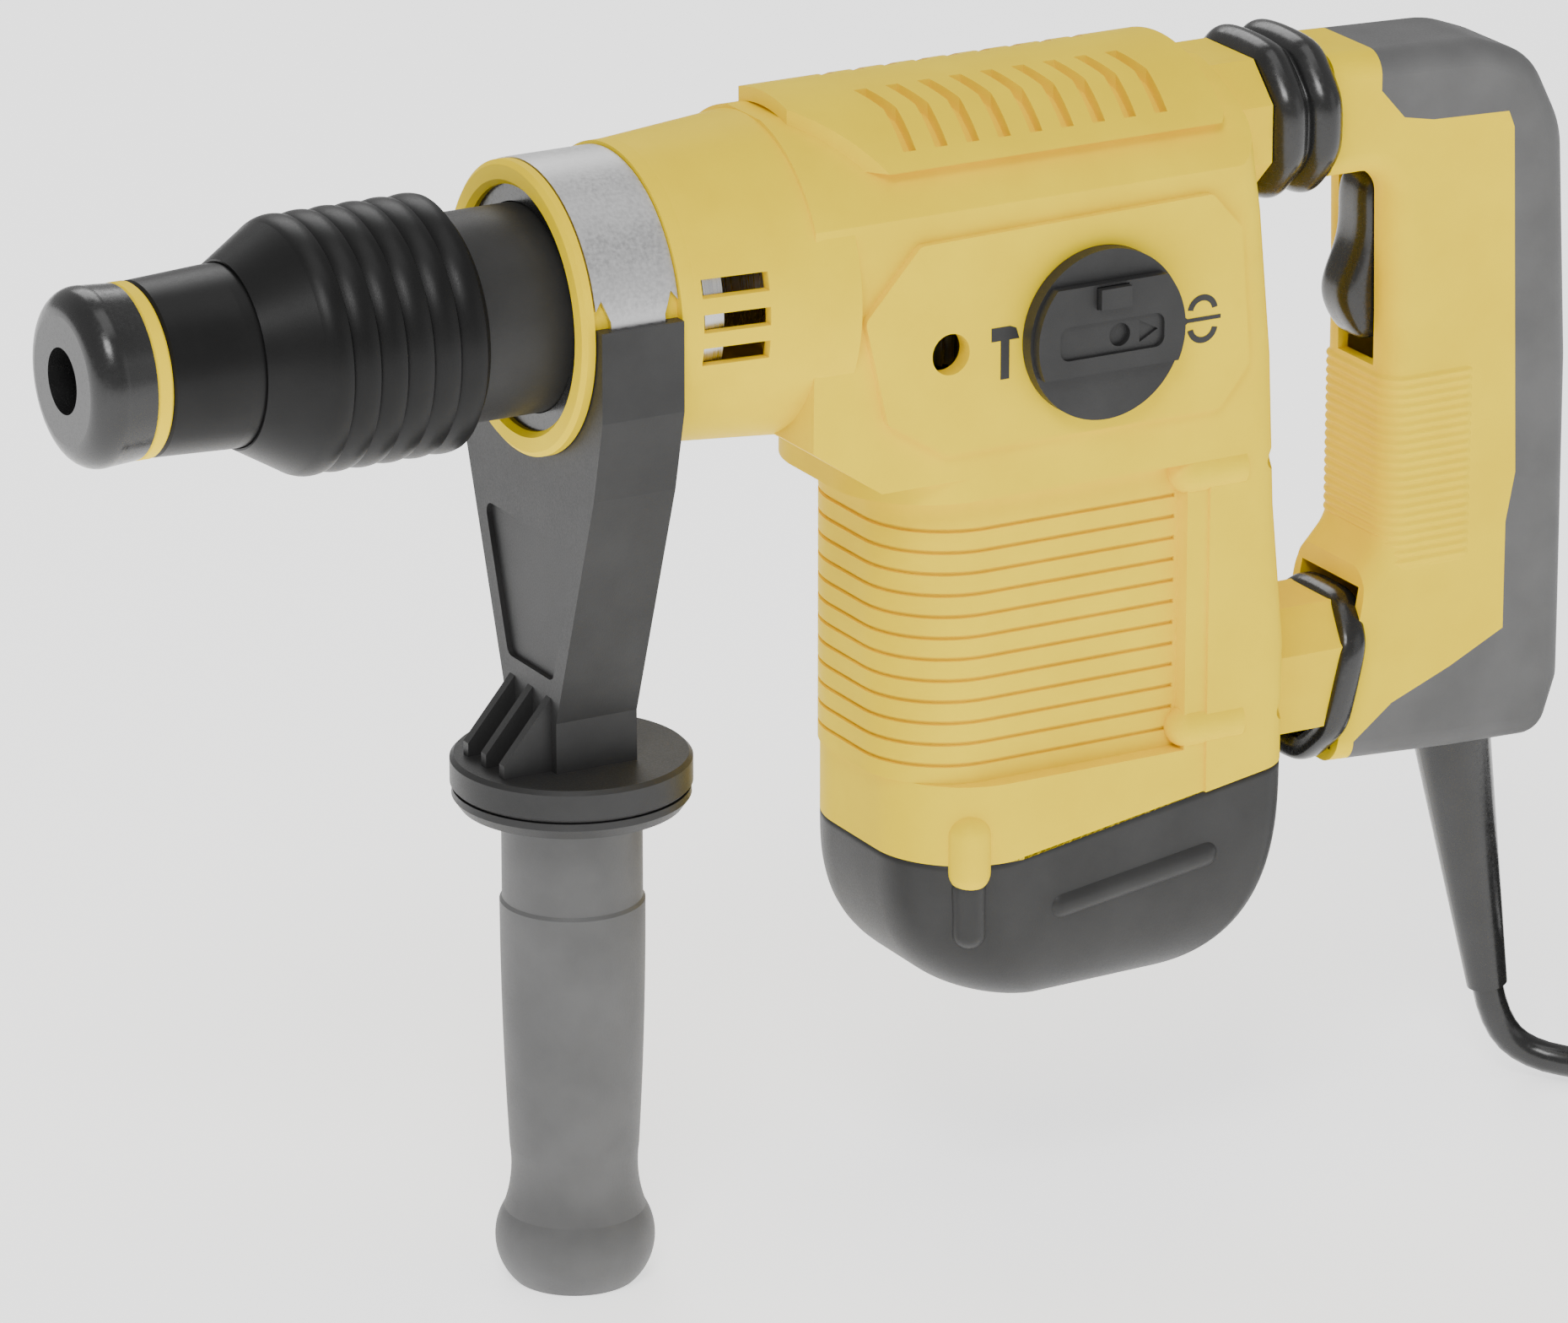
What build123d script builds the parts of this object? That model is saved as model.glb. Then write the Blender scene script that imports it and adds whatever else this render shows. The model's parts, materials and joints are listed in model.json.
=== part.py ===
"""Electric demolition hammer, modelled piece by piece in millimetres.

The model is laid out along the impact axis: X = 0 is the front of the dust cap, +X runs back to the rear
handle, +Z is up and the visible side of the tool faces -Y.  Just before writing, every piece is shifted so
that the origin is the middle of the rear grip.
"""

import math
import os

from build123d import *

# ---- driving dimensions (mm) -------------------------------------------------------------------------
OVERALL_LENGTH = 478.0      # dust cap to the back of the rear handle
GRIP_X = OVERALL_LENGTH - 40.0
GRIP_Z = -80.0              # middle of the rear grip below the impact axis
RUN = 0.05                  # radial clearance of a running fit
GAP = 0.3                   # clearance between pieces that pass each other

# tool holder, all turned about the impact axis
BORE_R = 9.0                # 18 mm shank bore
BORE_LENGTH = 80.0
SPINDLE_FRONT_X = 8.0
SPINDLE_FRONT_R = 14.5
SPINDLE_MID_R = 21.0
SPINDLE_REAR_R = 24.0
SPINDLE_STEP_X = 60.0
SPINDLE_REAR_X = 128.0
SPINDLE_END_X = 171.0
CAP_R = 25.0
CAP_LENGTH = 17.2
CAP_RING_END_X = 22.0
NECK_R = 25.5
SLEEVE_R = 36.3
SLEEVE_FRONT_X = 49.0
SLEEVE_RIB_X = 63.0
RIB_PITCH = 8.1
RIB_COUNT = 6
SLEEVE_BORE_R = 30.2
NECK_COVER_R = 29.5
NECK_COVER_X = 90.0
ROLLER_R = 2.9
ROLLER_LENGTH = 14.0
ROLLER_X = 77.0

# collar that the side handle clamps on
COLLAR_X = 137.4
COLLAR_LIP_R = 41.7
COLLAR_R = 40.0
COLLAR_MOUTH_R = 34.7
COLLAR_LIP = 3.6
CLAMP_WIDTH = 26.4
BEARING_R = 31.0
BARREL_X = COLLAR_X + COLLAR_LIP + CLAMP_WIDTH + 4.6

# housings
BARREL_FRONT_R = 43.0
BARREL_R = 46.5
BODY_HALF = 42.0            # flat sides of the body
ARCH_RISE = 5.5             # the arched top is this much higher than the flat sides are wide
BODY_TOP = BODY_HALF + ARCH_RISE
BODY_BOTTOM = -57.0
BODY_END_X = 345.0
WALL = 3.2
COVER_THICK = 2.5
MOTOR_FRONT_X = 243.0
MOTOR_SEAM_X = 339.0
MOTOR_HALF = 35.5
MOTOR_BAND_Z = -151.0
CAP_LINE_Z = -175.0
CAP_LINE_REAR_Z = -160.0
CAP_BOTTOM_Z = -226.0
ARM_Z = 24.0                # middle of the upper arm
ARM_HALF_WIDTH = 24.0
ARM_HALF_HEIGHT = 19.5
LOWER_ARM_Z = -149.0
LOWER_ARM_HALF = 23.5
ARM_CUT = 11.0

# mechanism
TUBE_R = 15.0               # bore of the hammer tube
TUBE_WALL = 3.0
TUBE_X = 132.0
MOTOR_X = 292.0
PINION_TEETH = 8
CRANK_TEETH = 52
GEAR_MODULE = 1.0
GEAR_CENTRES = GEAR_MODULE * (PINION_TEETH + CRANK_TEETH) / 2
CRANK_X = MOTOR_X - GEAR_CENTRES
CRANK_DISC_R = 21.0
TUBE_END_X = CRANK_X - CRANK_DISC_R - 1.0
THROW = 14.0
ROD_LENGTH = 50.0
PISTON_LENGTH = 28.0
STRIKER_LENGTH = 34.0
STRIKER_X = 146.0
BEAT_X = 96.0
BEAT_R = 11.0

# bosses across the housing seam, with their screws along X
BOSS_R = 6.0
BOSS_OUT = 1.6              # how far a boss stands out of the side
BOSS_START_X = 328.0
BOSS_END_X = 351.0
BOSS_Z = (-68.0, -145.0)
BODY_SCREW_R = 1.8
BODY_SCREW_HEAD_R = 3.0
BODY_SCREW_LENGTH = 20.0
BOSSES = [(side * (BODY_HALF + BOSS_OUT - BOSS_R), z) for side in (-1, 1) for z in BOSS_Z]

# dial on the side
DIAL_X = 299.5
DIAL_Z = -18.5
DIAL_R = 25.0
DIAL_SHAFT_R = 8.0
DIAL_THICK = 7.5
LOCK_TRAVEL = 2.5
ACCESS_X = 251.6            # round access hole in front of the dial
ACCESS_R = 6.0

# side handle
SIDE_X = COLLAR_X + COLLAR_LIP + CLAMP_WIDTH / 2
BRACKET_TOP = 4.0
DISC_R = 34.5
DISC_TOP = -133.0
DISC_THICK = 9.5
GRIP_CORE_R = 14.5
GRIP_BOTTOM = -292.5
BOLT_R = 4.0

# rear handle
HANDLE_HALF = 19.0
HANDLE_WALL = 3.5
PIVOT_X = 412.0
PIVOT_Z = -148.0
PIVOT_R = 4.0
TRIGGER_X = 421.0
TRIGGER_Z = -4.0
TRIGGER_HALF = 9.0
TRIGGER_PIN_R = 2.0
HANDLE_SCREW_R = 1.6
HANDLE_SCREW_LENGTH = 8.0
HANDLE_SCREWS = [(402.0, 28.0), (446.0, -72.0), (446.0, -132.0)]

# mains cord
CORD_D = 9.5
FLOOR_Z = GRIP_BOTTOM
TIE = 1.2
COIL_TURNS_ACROSS = 4
COIL_LAYERS = 3
COIL_MID_R = 57.0
COIL_PITCH = 9.6
COIL_X = 576.0
COIL_Y = -20.0
COIL_START = -150.0         # angle at which the lead joins the coil
TAIL_R = 54.0               # the tail climbs round the coil at this radius
CORD_MOUTH = (466.0, 0.0, -262.0)
PLUG_R = 17.0


# ---- helpers -------------------------------------------------------------------------------------
def turned(points):
    """Closed (x, r) profile turned about the impact axis."""
    return revolve(Plane.XY * make_face(Polyline(*points, close=True)), axis=Axis.X)


def turned_z(points, x=0.0, y=0.0):
    """Closed (r, z) profile turned about a vertical axis through (x, y)."""
    return Pos(x, y, 0) * revolve(Plane.XZ * make_face(Polyline(*points, close=True)), axis=Axis.Z)


def tube_x(x0, x1, outer, inner, y=0.0, z=0.0):
    """Tube along X from x0 to x1; inner 0 leaves it solid."""
    disc = Circle(outer) - Circle(inner) if inner > 0 else Circle(outer)
    return Pos(x0, y, z) * extrude(Plane.YZ * disc, amount=x1 - x0)


def tube_y(y0, y1, outer, inner, x, z):
    """Tube along Y from y0 to y1."""
    disc = Circle(outer) - Circle(inner) if inner > 0 else Circle(outer)
    return Pos(x, y1, z) * extrude(Plane.XZ * disc, amount=y1 - y0)


def tube_z(z0, z1, outer, inner, x, y=0.0):
    """Tube along Z from z0 to z1."""
    disc = Circle(outer) - Circle(inner) if inner > 0 else Circle(outer)
    return Pos(x, y, z0) * extrude(disc, amount=z1 - z0)


def block(x0, x1, y0, y1, z0, z1):
    """Box given by its two corners."""
    return Pos((x0 + x1) / 2, (y0 + y1) / 2, (z0 + z1) / 2) * Box(x1 - x0, y1 - y0, z1 - z0)


def outline(points, radius):
    """Closed outline of straight lines with rounded corners, one radius for all or a list."""
    return make_face(FilletPolyline(*points, radius=radius, close=True))


def slab_y(points, y0, y1, radius=0.0):
    """Outline in (x, z) drawn out along Y from y0 to y1."""
    face = outline(points, radius) if radius else make_face(Polyline(*points, close=True))
    return Pos(0, y1, 0) * extrude(Plane.XZ * face, amount=y1 - y0)


def slab_x(points, x0, x1, radius=0.0):
    """Outline in (y, z) drawn out along X from x0 to x1."""
    face = outline(points, radius) if radius else make_face(Polyline(*points, close=True))
    return Pos(x0, 0, 0) * extrude(Plane.YZ * face, amount=x1 - x0)


def slab_z(points, z0, z1, radius=0.0):
    """Outline in (x, y) drawn out along Z from z0 to z1."""
    face = outline(points, radius) if radius else make_face(Polyline(*points, close=True))
    return Pos(0, 0, z0) * extrude(face, amount=z1 - z0)


def octagon(half_width, half_height, cut, z):
    """Octagonal (y, z) section of an arm, centred on height z."""
    w, h = half_width, half_height
    return [(w - cut, z + h), (w, z + h - cut), (w, z - h + cut), (w - cut, z - h),
            (cut - w, z - h), (-w, z - h + cut), (-w, z + h - cut), (cut - w, z + h)]


def column(x0, x1, half, corner, z0, z1):
    """Upright column with a rounded front."""
    block_part = block(x0, x1, -half, half, z0, z1)
    front = block_part.edges().filter_by(Axis.Z).sort_by(Axis.X)[:2]
    return fillet(front, corner)


# ---- tool holder ---------------------------------------------------------------------------------
def spindle_tube():
    """Hardened tube with the shank bore, two roller windows and a wide rear end."""
    body = turned([(SPINDLE_FRONT_X, BORE_R), (SPINDLE_FRONT_X, SPINDLE_FRONT_R),
                   (SPINDLE_STEP_X, SPINDLE_FRONT_R), (SPINDLE_STEP_X, SPINDLE_MID_R),
                   (SPINDLE_REAR_X, SPINDLE_MID_R), (SPINDLE_REAR_X, SPINDLE_REAR_R),
                   (SPINDLE_END_X, SPINDLE_REAR_R), (SPINDLE_END_X, TUBE_R + TUBE_WALL + RUN),
                   (TUBE_X - 2, TUBE_R + TUBE_WALL + RUN), (TUBE_X - 2, BEAT_R + GAP),
                   (SPINDLE_FRONT_X + BORE_LENGTH, BEAT_R + GAP), (SPINDLE_FRONT_X + BORE_LENGTH, BORE_R)])
    half = ROLLER_LENGTH / 2 + GAP
    for side in (-1, 1):
        lo, hi = sorted((side * (BORE_R - 1), side * (SPINDLE_MID_R + 1)))
        body -= block(ROLLER_X - half, ROLLER_X + half, -ROLLER_R - 0.1, ROLLER_R + 0.1, lo, hi)
    return body


def dust_cap():
    """Soft rubber cap on the spindle's front, round nosed, with a lipped hole."""
    nose = CAP_R - 7
    hole = BORE_R + GAP
    profile = Polyline((CAP_LENGTH, SPINDLE_FRONT_R), (SPINDLE_FRONT_X, SPINDLE_FRONT_R),
                       (SPINDLE_FRONT_X, hole), (0, hole), (0, nose))
    profile += ThreePointArc((0, nose), (2.4, CAP_R - 1.9), (9, CAP_R))
    profile += Polyline((9, CAP_R), (CAP_LENGTH, CAP_R - 0.6), (CAP_LENGTH, SPINDLE_FRONT_R))
    return revolve(Plane.XY * make_face(profile), axis=Axis.X)


def cap_ring():
    """Hard ring that holds the dust cap."""
    return turned([(CAP_LENGTH, SPINDLE_FRONT_R), (CAP_LENGTH, CAP_R - 1.2), (CAP_LENGTH + 0.8, CAP_R - 0.5),
                   (CAP_RING_END_X - 0.8, CAP_R - 0.5), (CAP_RING_END_X, CAP_R - 1.2),
                   (CAP_RING_END_X, SPINDLE_FRONT_R)])


def front_sleeve():
    """Smooth fixed sleeve behind the cap ring."""
    return turned([(CAP_RING_END_X, SPINDLE_FRONT_R), (CAP_RING_END_X, CAP_R - 1.6),
                   (CAP_RING_END_X + 1, CAP_R - 0.6), (45, NECK_R), (SPINDLE_STEP_X, NECK_R),
                   (SPINDLE_STEP_X, SPINDLE_FRONT_R)])


def neck_cover():
    """Smooth black cover between the ribbed sleeve and the collar."""
    end = SPINDLE_REAR_X + 15
    return turned([(NECK_COVER_X, SPINDLE_MID_R), (NECK_COVER_X, NECK_COVER_R), (end, NECK_COVER_R),
                   (end, SPINDLE_REAR_R), (SPINDLE_REAR_X, SPINDLE_REAR_R), (SPINDLE_REAR_X, SPINDLE_MID_R)])


def locking_rollers():
    """Two steel rollers in the spindle windows."""
    z = BORE_R + ROLLER_R + 0.9
    x0 = ROLLER_X - ROLLER_LENGTH / 2
    return Compound(children=[tube_x(x0, x0 + ROLLER_LENGTH, ROLLER_R, 0, z=side * z) for side in (-1, 1)])


def sleeve_spring():
    """Outer shape of the coil spring that pushes the ribbed sleeve forwards."""
    x0 = SLEEVE_RIB_X + 3.2
    x1 = NECK_COVER_X - 0.4
    coils = 4
    pitch = (x1 - x0) / coils
    outer = []
    for i in range(coils):
        outer += [(x0 + pitch * i, 24.0), (x0 + pitch * (i + 0.5), 28.0)]
    outer.append((x1, 24.0))
    inner = [(x, r - 2.2) for x, r in reversed(outer)]
    return turned(outer + inner)


def locking_sleeve():
    """Ribbed sleeve with a conical shoulder, pulled back to free the shank."""
    bore = NECK_R + GAP
    profile = Polyline((SLEEVE_RIB_X + 3, SLEEVE_BORE_R), (SLEEVE_RIB_X - 2, bore), (SLEEVE_FRONT_X, bore),
                       (SLEEVE_FRONT_X, bore + 0.6), (SLEEVE_RIB_X, SLEEVE_R - 1.6))
    for i in range(RIB_COUNT):
        x = SLEEVE_RIB_X + RIB_PITCH * i
        low = SLEEVE_R - 1.6
        rib_end = (x + 0.9 * RIB_PITCH, SLEEVE_R - 0.3)
        profile += ThreePointArc((x, low), (x + 0.5 * RIB_PITCH, SLEEVE_R), rib_end)
        profile += Line(rib_end, (x + RIB_PITCH, low))
    end = SLEEVE_RIB_X + RIB_PITCH * RIB_COUNT
    profile += Polyline((end, SLEEVE_R - 1.6), (end + 2, SLEEVE_R - 4), (end + 2, SLEEVE_BORE_R),
                        (SLEEVE_RIB_X + 3, SLEEVE_BORE_R))
    return revolve(Plane.XY * make_face(profile), axis=Axis.X)


# ---- collar and hammer mechanism -----------------------------------------------------------------
def collar_ring():
    """Ring round the tool holder: front lip, clamping groove and rear flange."""
    x = COLLAR_X
    groove = x + COLLAR_LIP
    back = groove + CLAMP_WIDTH
    return turned([(x, COLLAR_MOUTH_R + 1.5), (x, COLLAR_LIP_R - 1.4), (x + 1.2, COLLAR_LIP_R),
                   (groove, COLLAR_LIP_R), (groove, COLLAR_R), (back, COLLAR_R), (back, BARREL_FRONT_R),
                   (BARREL_X, BARREL_FRONT_R), (BARREL_X, BEARING_R), (x + 8, BEARING_R),
                   (x + 8, COLLAR_MOUTH_R), (x + 1.6, COLLAR_MOUTH_R)])


def front_seal():
    """Lip seal in the collar's mouth."""
    return tube_x(COLLAR_X + 3, COLLAR_X + 8, COLLAR_MOUTH_R, NECK_COVER_R + GAP)


def front_bearing():
    """Bearing bush that the tool holder turns in."""
    x0 = COLLAR_X + 10
    return tube_x(x0, x0 + 18, BEARING_R, SPINDLE_REAR_R + RUN)


def hammer_tube():
    """Fixed steel guide tube of the piston and the striker."""
    body = tube_x(TUBE_X, TUBE_END_X, TUBE_R + TUBE_WALL, TUBE_R + RUN)
    return body + tube_x(BARREL_X + 4, BARREL_X + 10, BARREL_FRONT_R - WALL, TUBE_R + TUBE_WALL)


def beat_piece():
    """Anvil that passes the blow to the tool's shank."""
    x1 = BEAT_X + 32
    return turned([(BEAT_X, 0), (BEAT_X, BORE_R - 1), (BEAT_X + 6, BEAT_R), (x1 - 6, BEAT_R),
                   (x1, BORE_R - 1), (x1, 0)])


def striker():
    """Free flying mass driven by the air cushion."""
    x1 = STRIKER_X + STRIKER_LENGTH
    return turned([(STRIKER_X, 0), (STRIKER_X, TUBE_R - 3), (STRIKER_X + 3, TUBE_R), (x1 - 8, TUBE_R),
                   (x1 - 8, TUBE_R - 1.6), (x1 - 5, TUBE_R - 1.6), (x1 - 5, TUBE_R), (x1, TUBE_R), (x1, 0)])


WRIST_X = CRANK_X + THROW - ROD_LENGTH
PISTON_X = WRIST_X - 14.0
PIN_R = 4.0


def piston():
    """Piston with a fork for the wrist pin."""
    body = tube_x(PISTON_X, PISTON_X + PISTON_LENGTH, TUBE_R, 0)
    body -= block(PISTON_X + 6, PISTON_X + PISTON_LENGTH + 1, -TUBE_R - 1, TUBE_R + 1, -6, 6)
    return body - tube_z(-TUBE_R, TUBE_R, PIN_R, 0, WRIST_X)


def rod_pins():
    """Wrist pin across the piston's fork, and the crank pin, which stands just clear of the crank disc."""
    crank_pin = tube_z(-8, 8, PIN_R, 0, WRIST_X + ROD_LENGTH)
    return Compound(children=[tube_z(-12, 12, PIN_R, 0, WRIST_X), crank_pin])


def connecting_rod():
    """Rod from the crank pin to the wrist pin."""
    big_x = WRIST_X + ROD_LENGTH
    body = block(WRIST_X, big_x, -3.5, 3.5, -4, 4) + tube_z(-5.5, 5.5, 7, 0, WRIST_X)
    body += tube_z(-5.5, 5.5, 9, 0, big_x)
    return body - tube_z(-6, 6, PIN_R + RUN, 0, WRIST_X) - tube_z(-6, 6, PIN_R, 0, big_x)


def gear(teeth, face_z, thick, x, turn):
    """Spur gear with straight-flanked teeth, turned so that a tooth or a gap faces its mate."""
    pitch_r = GEAR_MODULE * teeth / 2
    root = pitch_r - 1.15 * GEAR_MODULE
    tip = pitch_r + 0.9 * GEAR_MODULE
    points = []
    step = 2 * math.pi / teeth
    for i in range(teeth):
        a = turn + i * step
        for radius, share in ((root, -0.36), (pitch_r, -0.22), (tip, -0.09), (tip, 0.09), (pitch_r, 0.22),
                              (root, 0.36)):
            points.append((radius * math.cos(a + share * step), radius * math.sin(a + share * step)))
    return Pos(x, 0, face_z) * extrude(make_face(Polyline(*points, close=True)), amount=thick)


def crank_gear():
    """Crank wheel with its shaft down into the gearcase."""
    wheel = gear(CRANK_TEETH, -28, 9, CRANK_X, 0.0) + tube_z(-19, -8.3, CRANK_DISC_R, 0, CRANK_X)
    return wheel + tube_z(-52, -28, 6, 0, CRANK_X)


def gearcase():
    """Light-alloy plate that carries the crank and motor bearings."""
    x0, x1 = CRANK_X - 24, MOTOR_X + 24
    body = slab_z([(x0, -24), (x0, 24), (x1, 24), (x1, -24)], -52, -32, 10)
    body -= tube_z(-53, -31, 10, 0, CRANK_X)
    body -= tube_z(-53, -40, 13, 0, MOTOR_X)
    return body - tube_z(-41, -31, 8, 0, MOTOR_X)


def shaft_bearings():
    """Crank shaft bush and the armature's two bearings, each as one ring."""
    motor = [tube_z(z0, z0 + 8, 13, 6 + RUN, MOTOR_X) for z0 in (-48, -213)]
    return Compound(children=[tube_z(-52, -32, 10, 6 + RUN, CRANK_X)] + motor)


def armature_shaft():
    """Motor shaft with the pinion cut on its top end."""
    shaft = tube_z(-215, -31, 6, 0, MOTOR_X)
    turn = math.pi + math.pi / PINION_TEETH
    return shaft + gear(PINION_TEETH, -31, 13, MOTOR_X, turn)


def armature_core():
    """Laminated core and winding of the armature."""
    return tube_z(-150, -82, 20, 6, MOTOR_X)


def commutator():
    """Copper commutator."""
    return tube_z(-186, -166, 13, 6, MOTOR_X)


def cooling_fan():
    """Fan with straight blades above the armature."""
    fan = tube_z(-60, -58, 29, 6, MOTOR_X) + tube_z(-72, -60, 10, 6, MOTOR_X)
    for i in range(10):
        blade = Pos(MOTOR_X, 0, 0) * Rot(0, 0, 36 * i) * block(9.5, 28.5, -0.8, 0.8, -70, -59.5)
        fan += blade
    return fan


def stator_core():
    """Laminated ring round the armature."""
    return tube_z(-148, -84, 31.5, 24, MOTOR_X)


def stator_windings():
    """Field windings over the stator's two ends, as closed rings."""
    rings = [tube_z(-158, -148, 31, 22, MOTOR_X), tube_z(-84, -76, 31, 22, MOTOR_X)]
    return Compound(children=rings)


def brush_holders():
    """Two holders facing the commutator."""
    boxes = []
    for side in (-1, 1):
        lo, hi = sorted((side * 15, side * 32))
        outer = block(MOTOR_X - 6, MOTOR_X + 6, lo, hi, -182, -170)
        boxes.append(outer - block(MOTOR_X - 4, MOTOR_X + 4, lo - 1, hi + 1, -180, -172))
    return Compound(children=boxes)


def carbon_brushes():
    """Two carbon brushes riding on the commutator."""
    half = 3.9
    return Compound(children=[block(MOTOR_X - half, MOTOR_X + half, y0, y1, -176 - half, -176 + half)
                              for y0, y1 in ((-26, -13.3), (13.3, 26))])


# ---- housings ------------------------------------------------------------------------------------
def body_section(r, half, bottom):
    """Arched (y, z) section: round top, flat sides, flat bottom."""
    arch = Circle(r) & (Pos(0, r / 2) * Rectangle(2 * half, r * 3))
    return arch + Pos(0, bottom / 2) * Rectangle(2 * half, -bottom)


def barrel_outer(shrink):
    """Solid shape of the front body; shrink gives the inside."""
    half = BODY_HALF - shrink
    nose = turned([(BARREL_X, 0), (BARREL_X, BARREL_FRONT_R - shrink), (212, BARREL_R - shrink),
                   (222, BARREL_R - shrink), (222, 0)])
    section = body_section(BODY_TOP - shrink, half, BODY_BOTTOM)
    body = Pos(232, 0, 0) * extrude(Plane.YZ * section, amount=BODY_END_X - 232)
    slope = slab_y([(210, BARREL_R - shrink), (233, BARREL_R - shrink), (233, BODY_BOTTOM),
                    (231 + shrink, BODY_BOTTOM), (209 + shrink, -42)], -half, half)
    slope = slope & tube_x(205, 233, BODY_TOP - shrink, 0) + (slope & block(205, 233, -half, half, -80, 0))
    return nose + body + slope


def barrel_housing():
    """Yellow front body over the hammer mechanism."""
    body = barrel_outer(0) - barrel_outer(WALL)
    body -= tube_x(BARREL_X - 1, BARREL_X + 4, BARREL_FRONT_R - WALL, 0)
    for i in range(3):
        z = 11.2 - 9.7 * i
        for side in (-1, 1):
            lo, hi = sorted((side * 30, side * 50))
            body -= block(174, 194, lo, hi, z - 2.6, z + 2.6)
    body -= block(MOTOR_FRONT_X + 6, BODY_END_X + 1, -32, 32, BODY_BOTTOM - 1, BODY_BOTTOM + WALL + 1)
    wall = (-BODY_HALF - 1, -BODY_HALF + WALL + 1)
    body -= tube_y(*wall, ACCESS_R, 0, ACCESS_X, DIAL_Z)
    return body - tube_y(*wall, DIAL_SHAFT_R + GAP, 0, DIAL_X, DIAL_Z)


def vent_cover():
    """Raised louvred cover over the top of the body."""
    top = BODY_TOP + 4.2
    cover = tube_x(216, BODY_END_X, top, BODY_TOP) & block(216, BODY_END_X, -50, 50, 34.5, 60)
    cover = cover & slab_z([(216, -14), (238, -42), (340, -42), (BODY_END_X, -36), (BODY_END_X, 36),
                            (340, 42), (238, 42), (216, 14)], 0, 80)
    for i in range(9):
        x = 240 + 10.2 * i
        for side in (-1, 1):
            points = [(x, side * 9), (x + 4, side * 9), (x + 7.5, side * 20), (x + 6, side * 34),
                      (x + 2, side * 34), (x + 3.5, side * 20)]
            cover -= slab_z(points, 30, 60)
    return cover


def side_cover(side):
    """Octagonal cover plate on one side of the body."""
    points = [(241.9, 14.3), (224.2, -5.3), (231.5, -36.3), (250, -48), (340, -48), (349.9, -35.8),
              (346.6, 4.9), (336.9, 16)]
    lo, hi = sorted((side * BODY_HALF, side * (BODY_HALF + COVER_THICK)))
    cover = slab_y(points, lo, hi, 3)
    if side < 0:
        cover -= tube_y(lo - 1, hi + 1, DIAL_SHAFT_R + RUN, 0, DIAL_X, DIAL_Z)
        cover -= tube_y(lo - 1, hi + 1, ACCESS_R, 0, ACCESS_X, DIAL_Z)
    return cover


def mode_dial():
    """Round selector with a raised bar and a shaft through the cover."""
    y0 = -BODY_HALF - COVER_THICK - GAP
    y1 = y0 - DIAL_THICK
    dial = tube_y(y0 - 4.5, y0, DIAL_R, 0, DIAL_X, DIAL_Z)
    bar = tube_y(y1, y0 - 4.5, DIAL_R - 1, 0, DIAL_X, DIAL_Z)
    bar = bar & block(DIAL_X - 30, DIAL_X + 30, y1 - 1, y0, DIAL_Z - 10, DIAL_Z + 16)
    bar -= slab_y([(DIAL_X - 17, DIAL_Z - 5), (DIAL_X + 17, DIAL_Z - 5), (DIAL_X + 17, DIAL_Z + 5),
                   (DIAL_X - 17, DIAL_Z + 5)], y1 - 1, y1 + 1.2, 3)
    bar -= tube_y(y1 - 1, y1 + 4, 3.4, 0, DIAL_X + 3, DIAL_Z)
    pointer = [(DIAL_X + 9.5, DIAL_Z - 3.2), (DIAL_X + 15.5, DIAL_Z), (DIAL_X + 9.5, DIAL_Z + 3.2)]
    bar -= slab_y(pointer, y1 - 1, y1 + 2.0)
    dial += bar
    dial -= block(DIAL_X - 5.3, DIAL_X + 5.3, y1 - 1, y1 + 5, DIAL_Z + 8.7, DIAL_Z + 15.3)
    return dial + tube_y(y0, -36, DIAL_SHAFT_R, 0, DIAL_X, DIAL_Z)


def dial_lock_button():
    """Button that is pressed to free the selector."""
    face = -BODY_HALF - COVER_THICK - GAP - DIAL_THICK
    return block(DIAL_X - 5, DIAL_X + 5, face - 2.2, face + 5 - LOCK_TRAVEL - 0.2, DIAL_Z + 9, DIAL_Z + 15)


def motor_shape(shrink):
    """Solid shape of the motor column; shrink gives the inside."""
    s = shrink
    top = column(232 + s, MOTOR_SEAM_X, BODY_HALF - s, 30 - s, -64 + s, BODY_BOTTOM)
    core = column(MOTOR_FRONT_X + s, MOTOR_SEAM_X, MOTOR_HALF - s, 26 - s, MOTOR_BAND_Z, -64)
    band = column(MOTOR_FRONT_X + 3 + s, MOTOR_SEAM_X, BODY_HALF - 1 - s, 28 - s, CAP_LINE_Z,
                  MOTOR_BAND_Z - s)
    frame = block(332 + s, MOTOR_SEAM_X, 1 + s - BODY_HALF, BODY_HALF - 1 - s, MOTOR_BAND_Z - 1, -63)
    return top + core + band + frame


def cap_line_cut():
    """Everything below the sloping line between the housings and the bottom cap."""
    return slab_y([(200, CAP_LINE_Z), (279, CAP_LINE_Z), (368, CAP_LINE_REAR_Z), (420, CAP_LINE_REAR_Z),
                   (420, -300), (200, -300)], -60, 60)


def boss_nose(length):
    """Round-nosed rod along X, from its tip at the origin."""
    slope = BOSS_R * math.sqrt(0.5)
    line = ThreePointArc((0, 0), (BOSS_R - slope, slope), (BOSS_R, BOSS_R))
    line += Polyline((BOSS_R, BOSS_R), (length, BOSS_R), (length, 0), (0, 0))
    return revolve(make_face(line), axis=Axis.X)


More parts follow.
